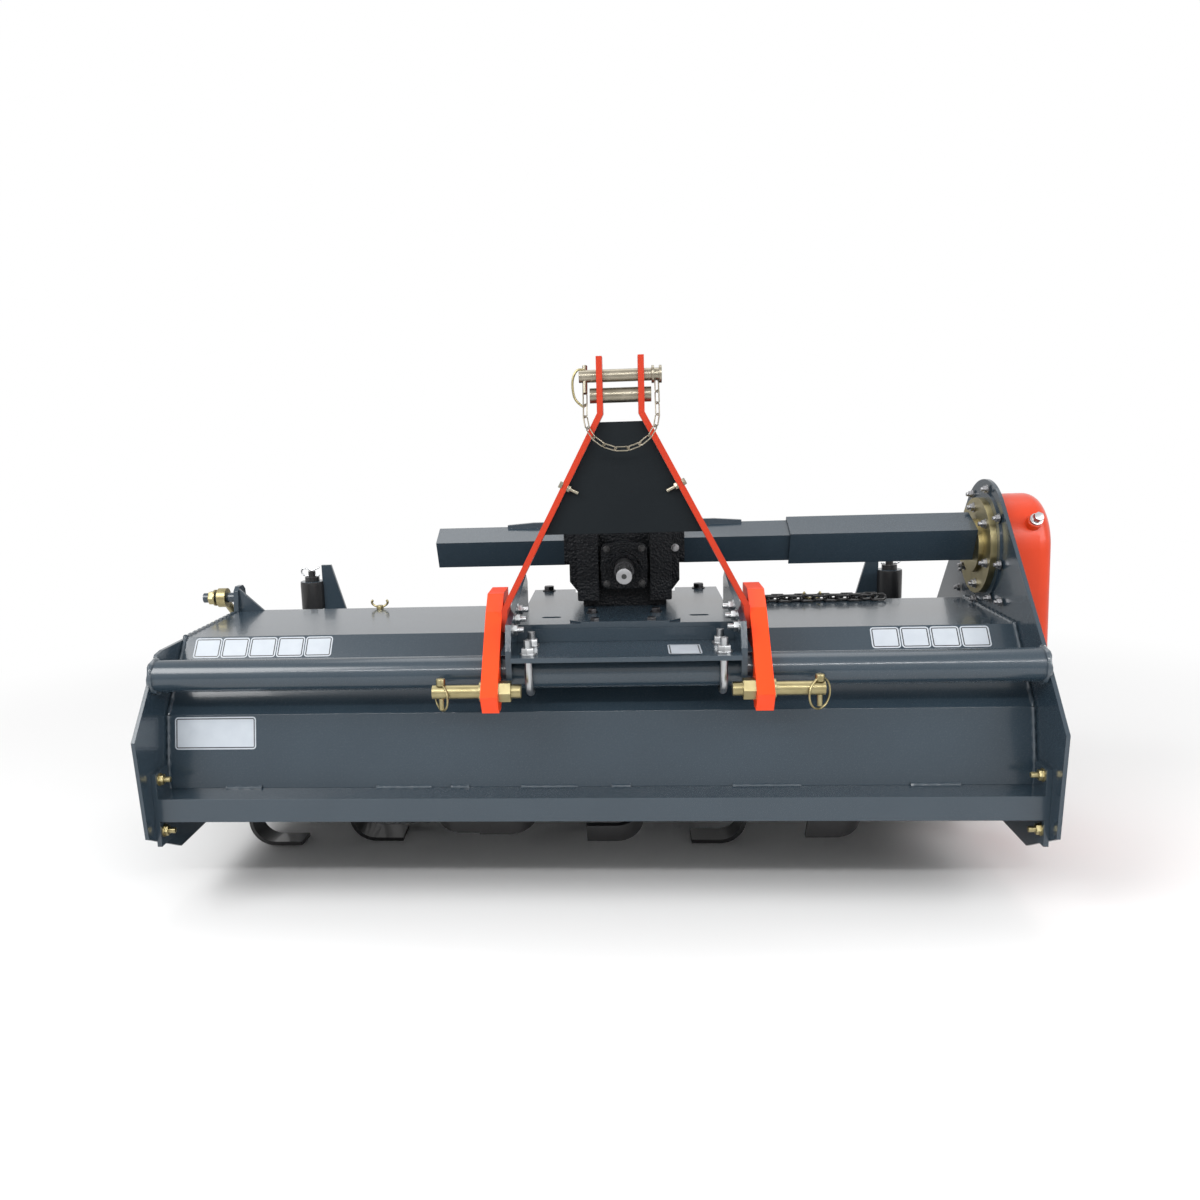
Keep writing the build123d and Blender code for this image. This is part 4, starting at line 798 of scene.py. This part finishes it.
# name, place, aim, width and height, power
lamp_rows = [
    ("key lamp", (-2.6, -2.8, 3.4), (0, 0, 0.5), (2.2, 2.2), 130),
    ("strip lamp", (0.2, -3.4, 2.6), (0, 0, 0.5), (4.0, 0.12), 52),
    ("fill lamp", (3.2, -2.4, 2.2), (0, 0, 0.5), (2.4, 2.0), 70),
    ("top lamp", (0.2, 0.8, 4.0), (0, 0, 0.4), (3.5, 2.2), 45),
]
for name, place, aim, size, power in lamp_rows:
    lamp = bpy.data.lights.new(name, "AREA")
    lamp.shape = "RECTANGLE"
    lamp.size, lamp.size_y = size
    lamp.energy = power
    holder = bpy.data.objects.new(name, lamp)
    holder.location = place
    holder.rotation_euler = (Vector(aim) - Vector(place)).to_track_quat("-Z", "Y").to_euler()
    bpy.context.scene.collection.objects.link(holder)

floor_shape = bmesh.new()
bmesh.ops.create_grid(floor_shape, x_segments=1, y_segments=1, size=FLOOR_HALF)
floor_mesh = bpy.data.meshes.new("floor")
floor_shape.to_mesh(floor_mesh)
floor_shape.free()
floor = bpy.data.objects.new("floor", floor_mesh)
bpy.context.scene.collection.objects.link(floor)

pale, pale_shades, pale_principled = new_material("pale floor")
pale_principled.inputs["Base Color"].default_value = (0.86, 0.86, 0.86, 1)
pale_principled.inputs["Roughness"].default_value = 0.9
floor_place = pale_shades.node("TexCoord", out="Object")
reach = pale_shades.node("VectorMath", {0: floor_place}, 1, operation="LENGTH")
seen = pale_shades.node("LightPath", out="Is Camera Ray")
white = pale_shades.node("Emission", {"Color": (1, 1, 1, 1), "Strength": 1.0})
shaded = Shade(pale.node_tree, pale_principled.outputs[0])
blend = pale_shades.node("MixShader", {0: reach.band(*FLOOR_FADE) * seen, 1: shaded, 2: white})
pale.node_tree.links.new(blend.socket, pale.node_tree.nodes["Material Output"].inputs["Surface"])
floor_mesh.materials.append(pale)

world = bpy.data.worlds.new("studio")
world.use_nodes = True
bpy.context.scene.world = world
sky = Shade(world.node_tree)
mirrored = sky.node("LightPath", out="Is Glossy Ray") + sky.node("LightPath", out="Is Transmission Ray")
in_full = mirrored + sky.node("LightPath", out="Is Camera Ray")
strength = sky.maths("MINIMUM", in_full * (1 - MATT_LIGHT) + MATT_LIGHT, 1.0)
backdrop = world.node_tree.nodes["Background"]
backdrop.inputs["Color"].default_value = (1, 1, 1, 1)
world.node_tree.links.new(strength.socket, backdrop.inputs["Strength"])


# Camera: it stands on the tractor's side of the hitch, a little to the right of the machine's middle,
# and looks slightly down. The values are worked out from the photograph's 1200 pixel frame.
CAMERA_PLACE = Vector((0.0926, -2.6165, 1.0296))
CAMERA_YAW = radians(-4.65)
CAMERA_PITCH = radians(9.75)
CAMERA_ROLL = radians(1.87)
FOCAL_PIXELS = 1046.0
CENTRE_PIXEL = 544.8
IMAGE_PIXELS = 1200.0
SENSOR = 36.0
level_ahead = Vector((sin(CAMERA_YAW), cos(CAMERA_YAW), 0))
level_right = Vector((cos(CAMERA_YAW), -sin(CAMERA_YAW), 0))
ahead = level_ahead * cos(CAMERA_PITCH) - UP * sin(CAMERA_PITCH)
level_down = ahead.cross(level_right)
right = level_right * cos(CAMERA_ROLL) + level_down * sin(CAMERA_ROLL)
down = level_down * cos(CAMERA_ROLL) - level_right * sin(CAMERA_ROLL)
lens = bpy.data.cameras.new("camera")
lens.sensor_width = SENSOR
lens.lens = SENSOR * FOCAL_PIXELS / IMAGE_PIXELS
lens.shift_x = (IMAGE_PIXELS / 2 - CENTRE_PIXEL) / IMAGE_PIXELS
camera = bpy.data.objects.new("camera", lens)
camera_turn = Matrix((right, -down, -ahead)).transposed().to_4x4()
camera.matrix_world = Matrix.Translation(CAMERA_PLACE) @ camera_turn
bpy.context.scene.collection.objects.link(camera)
bpy.context.scene.camera = camera
bpy.context.scene.view_settings.view_transform = "Standard"
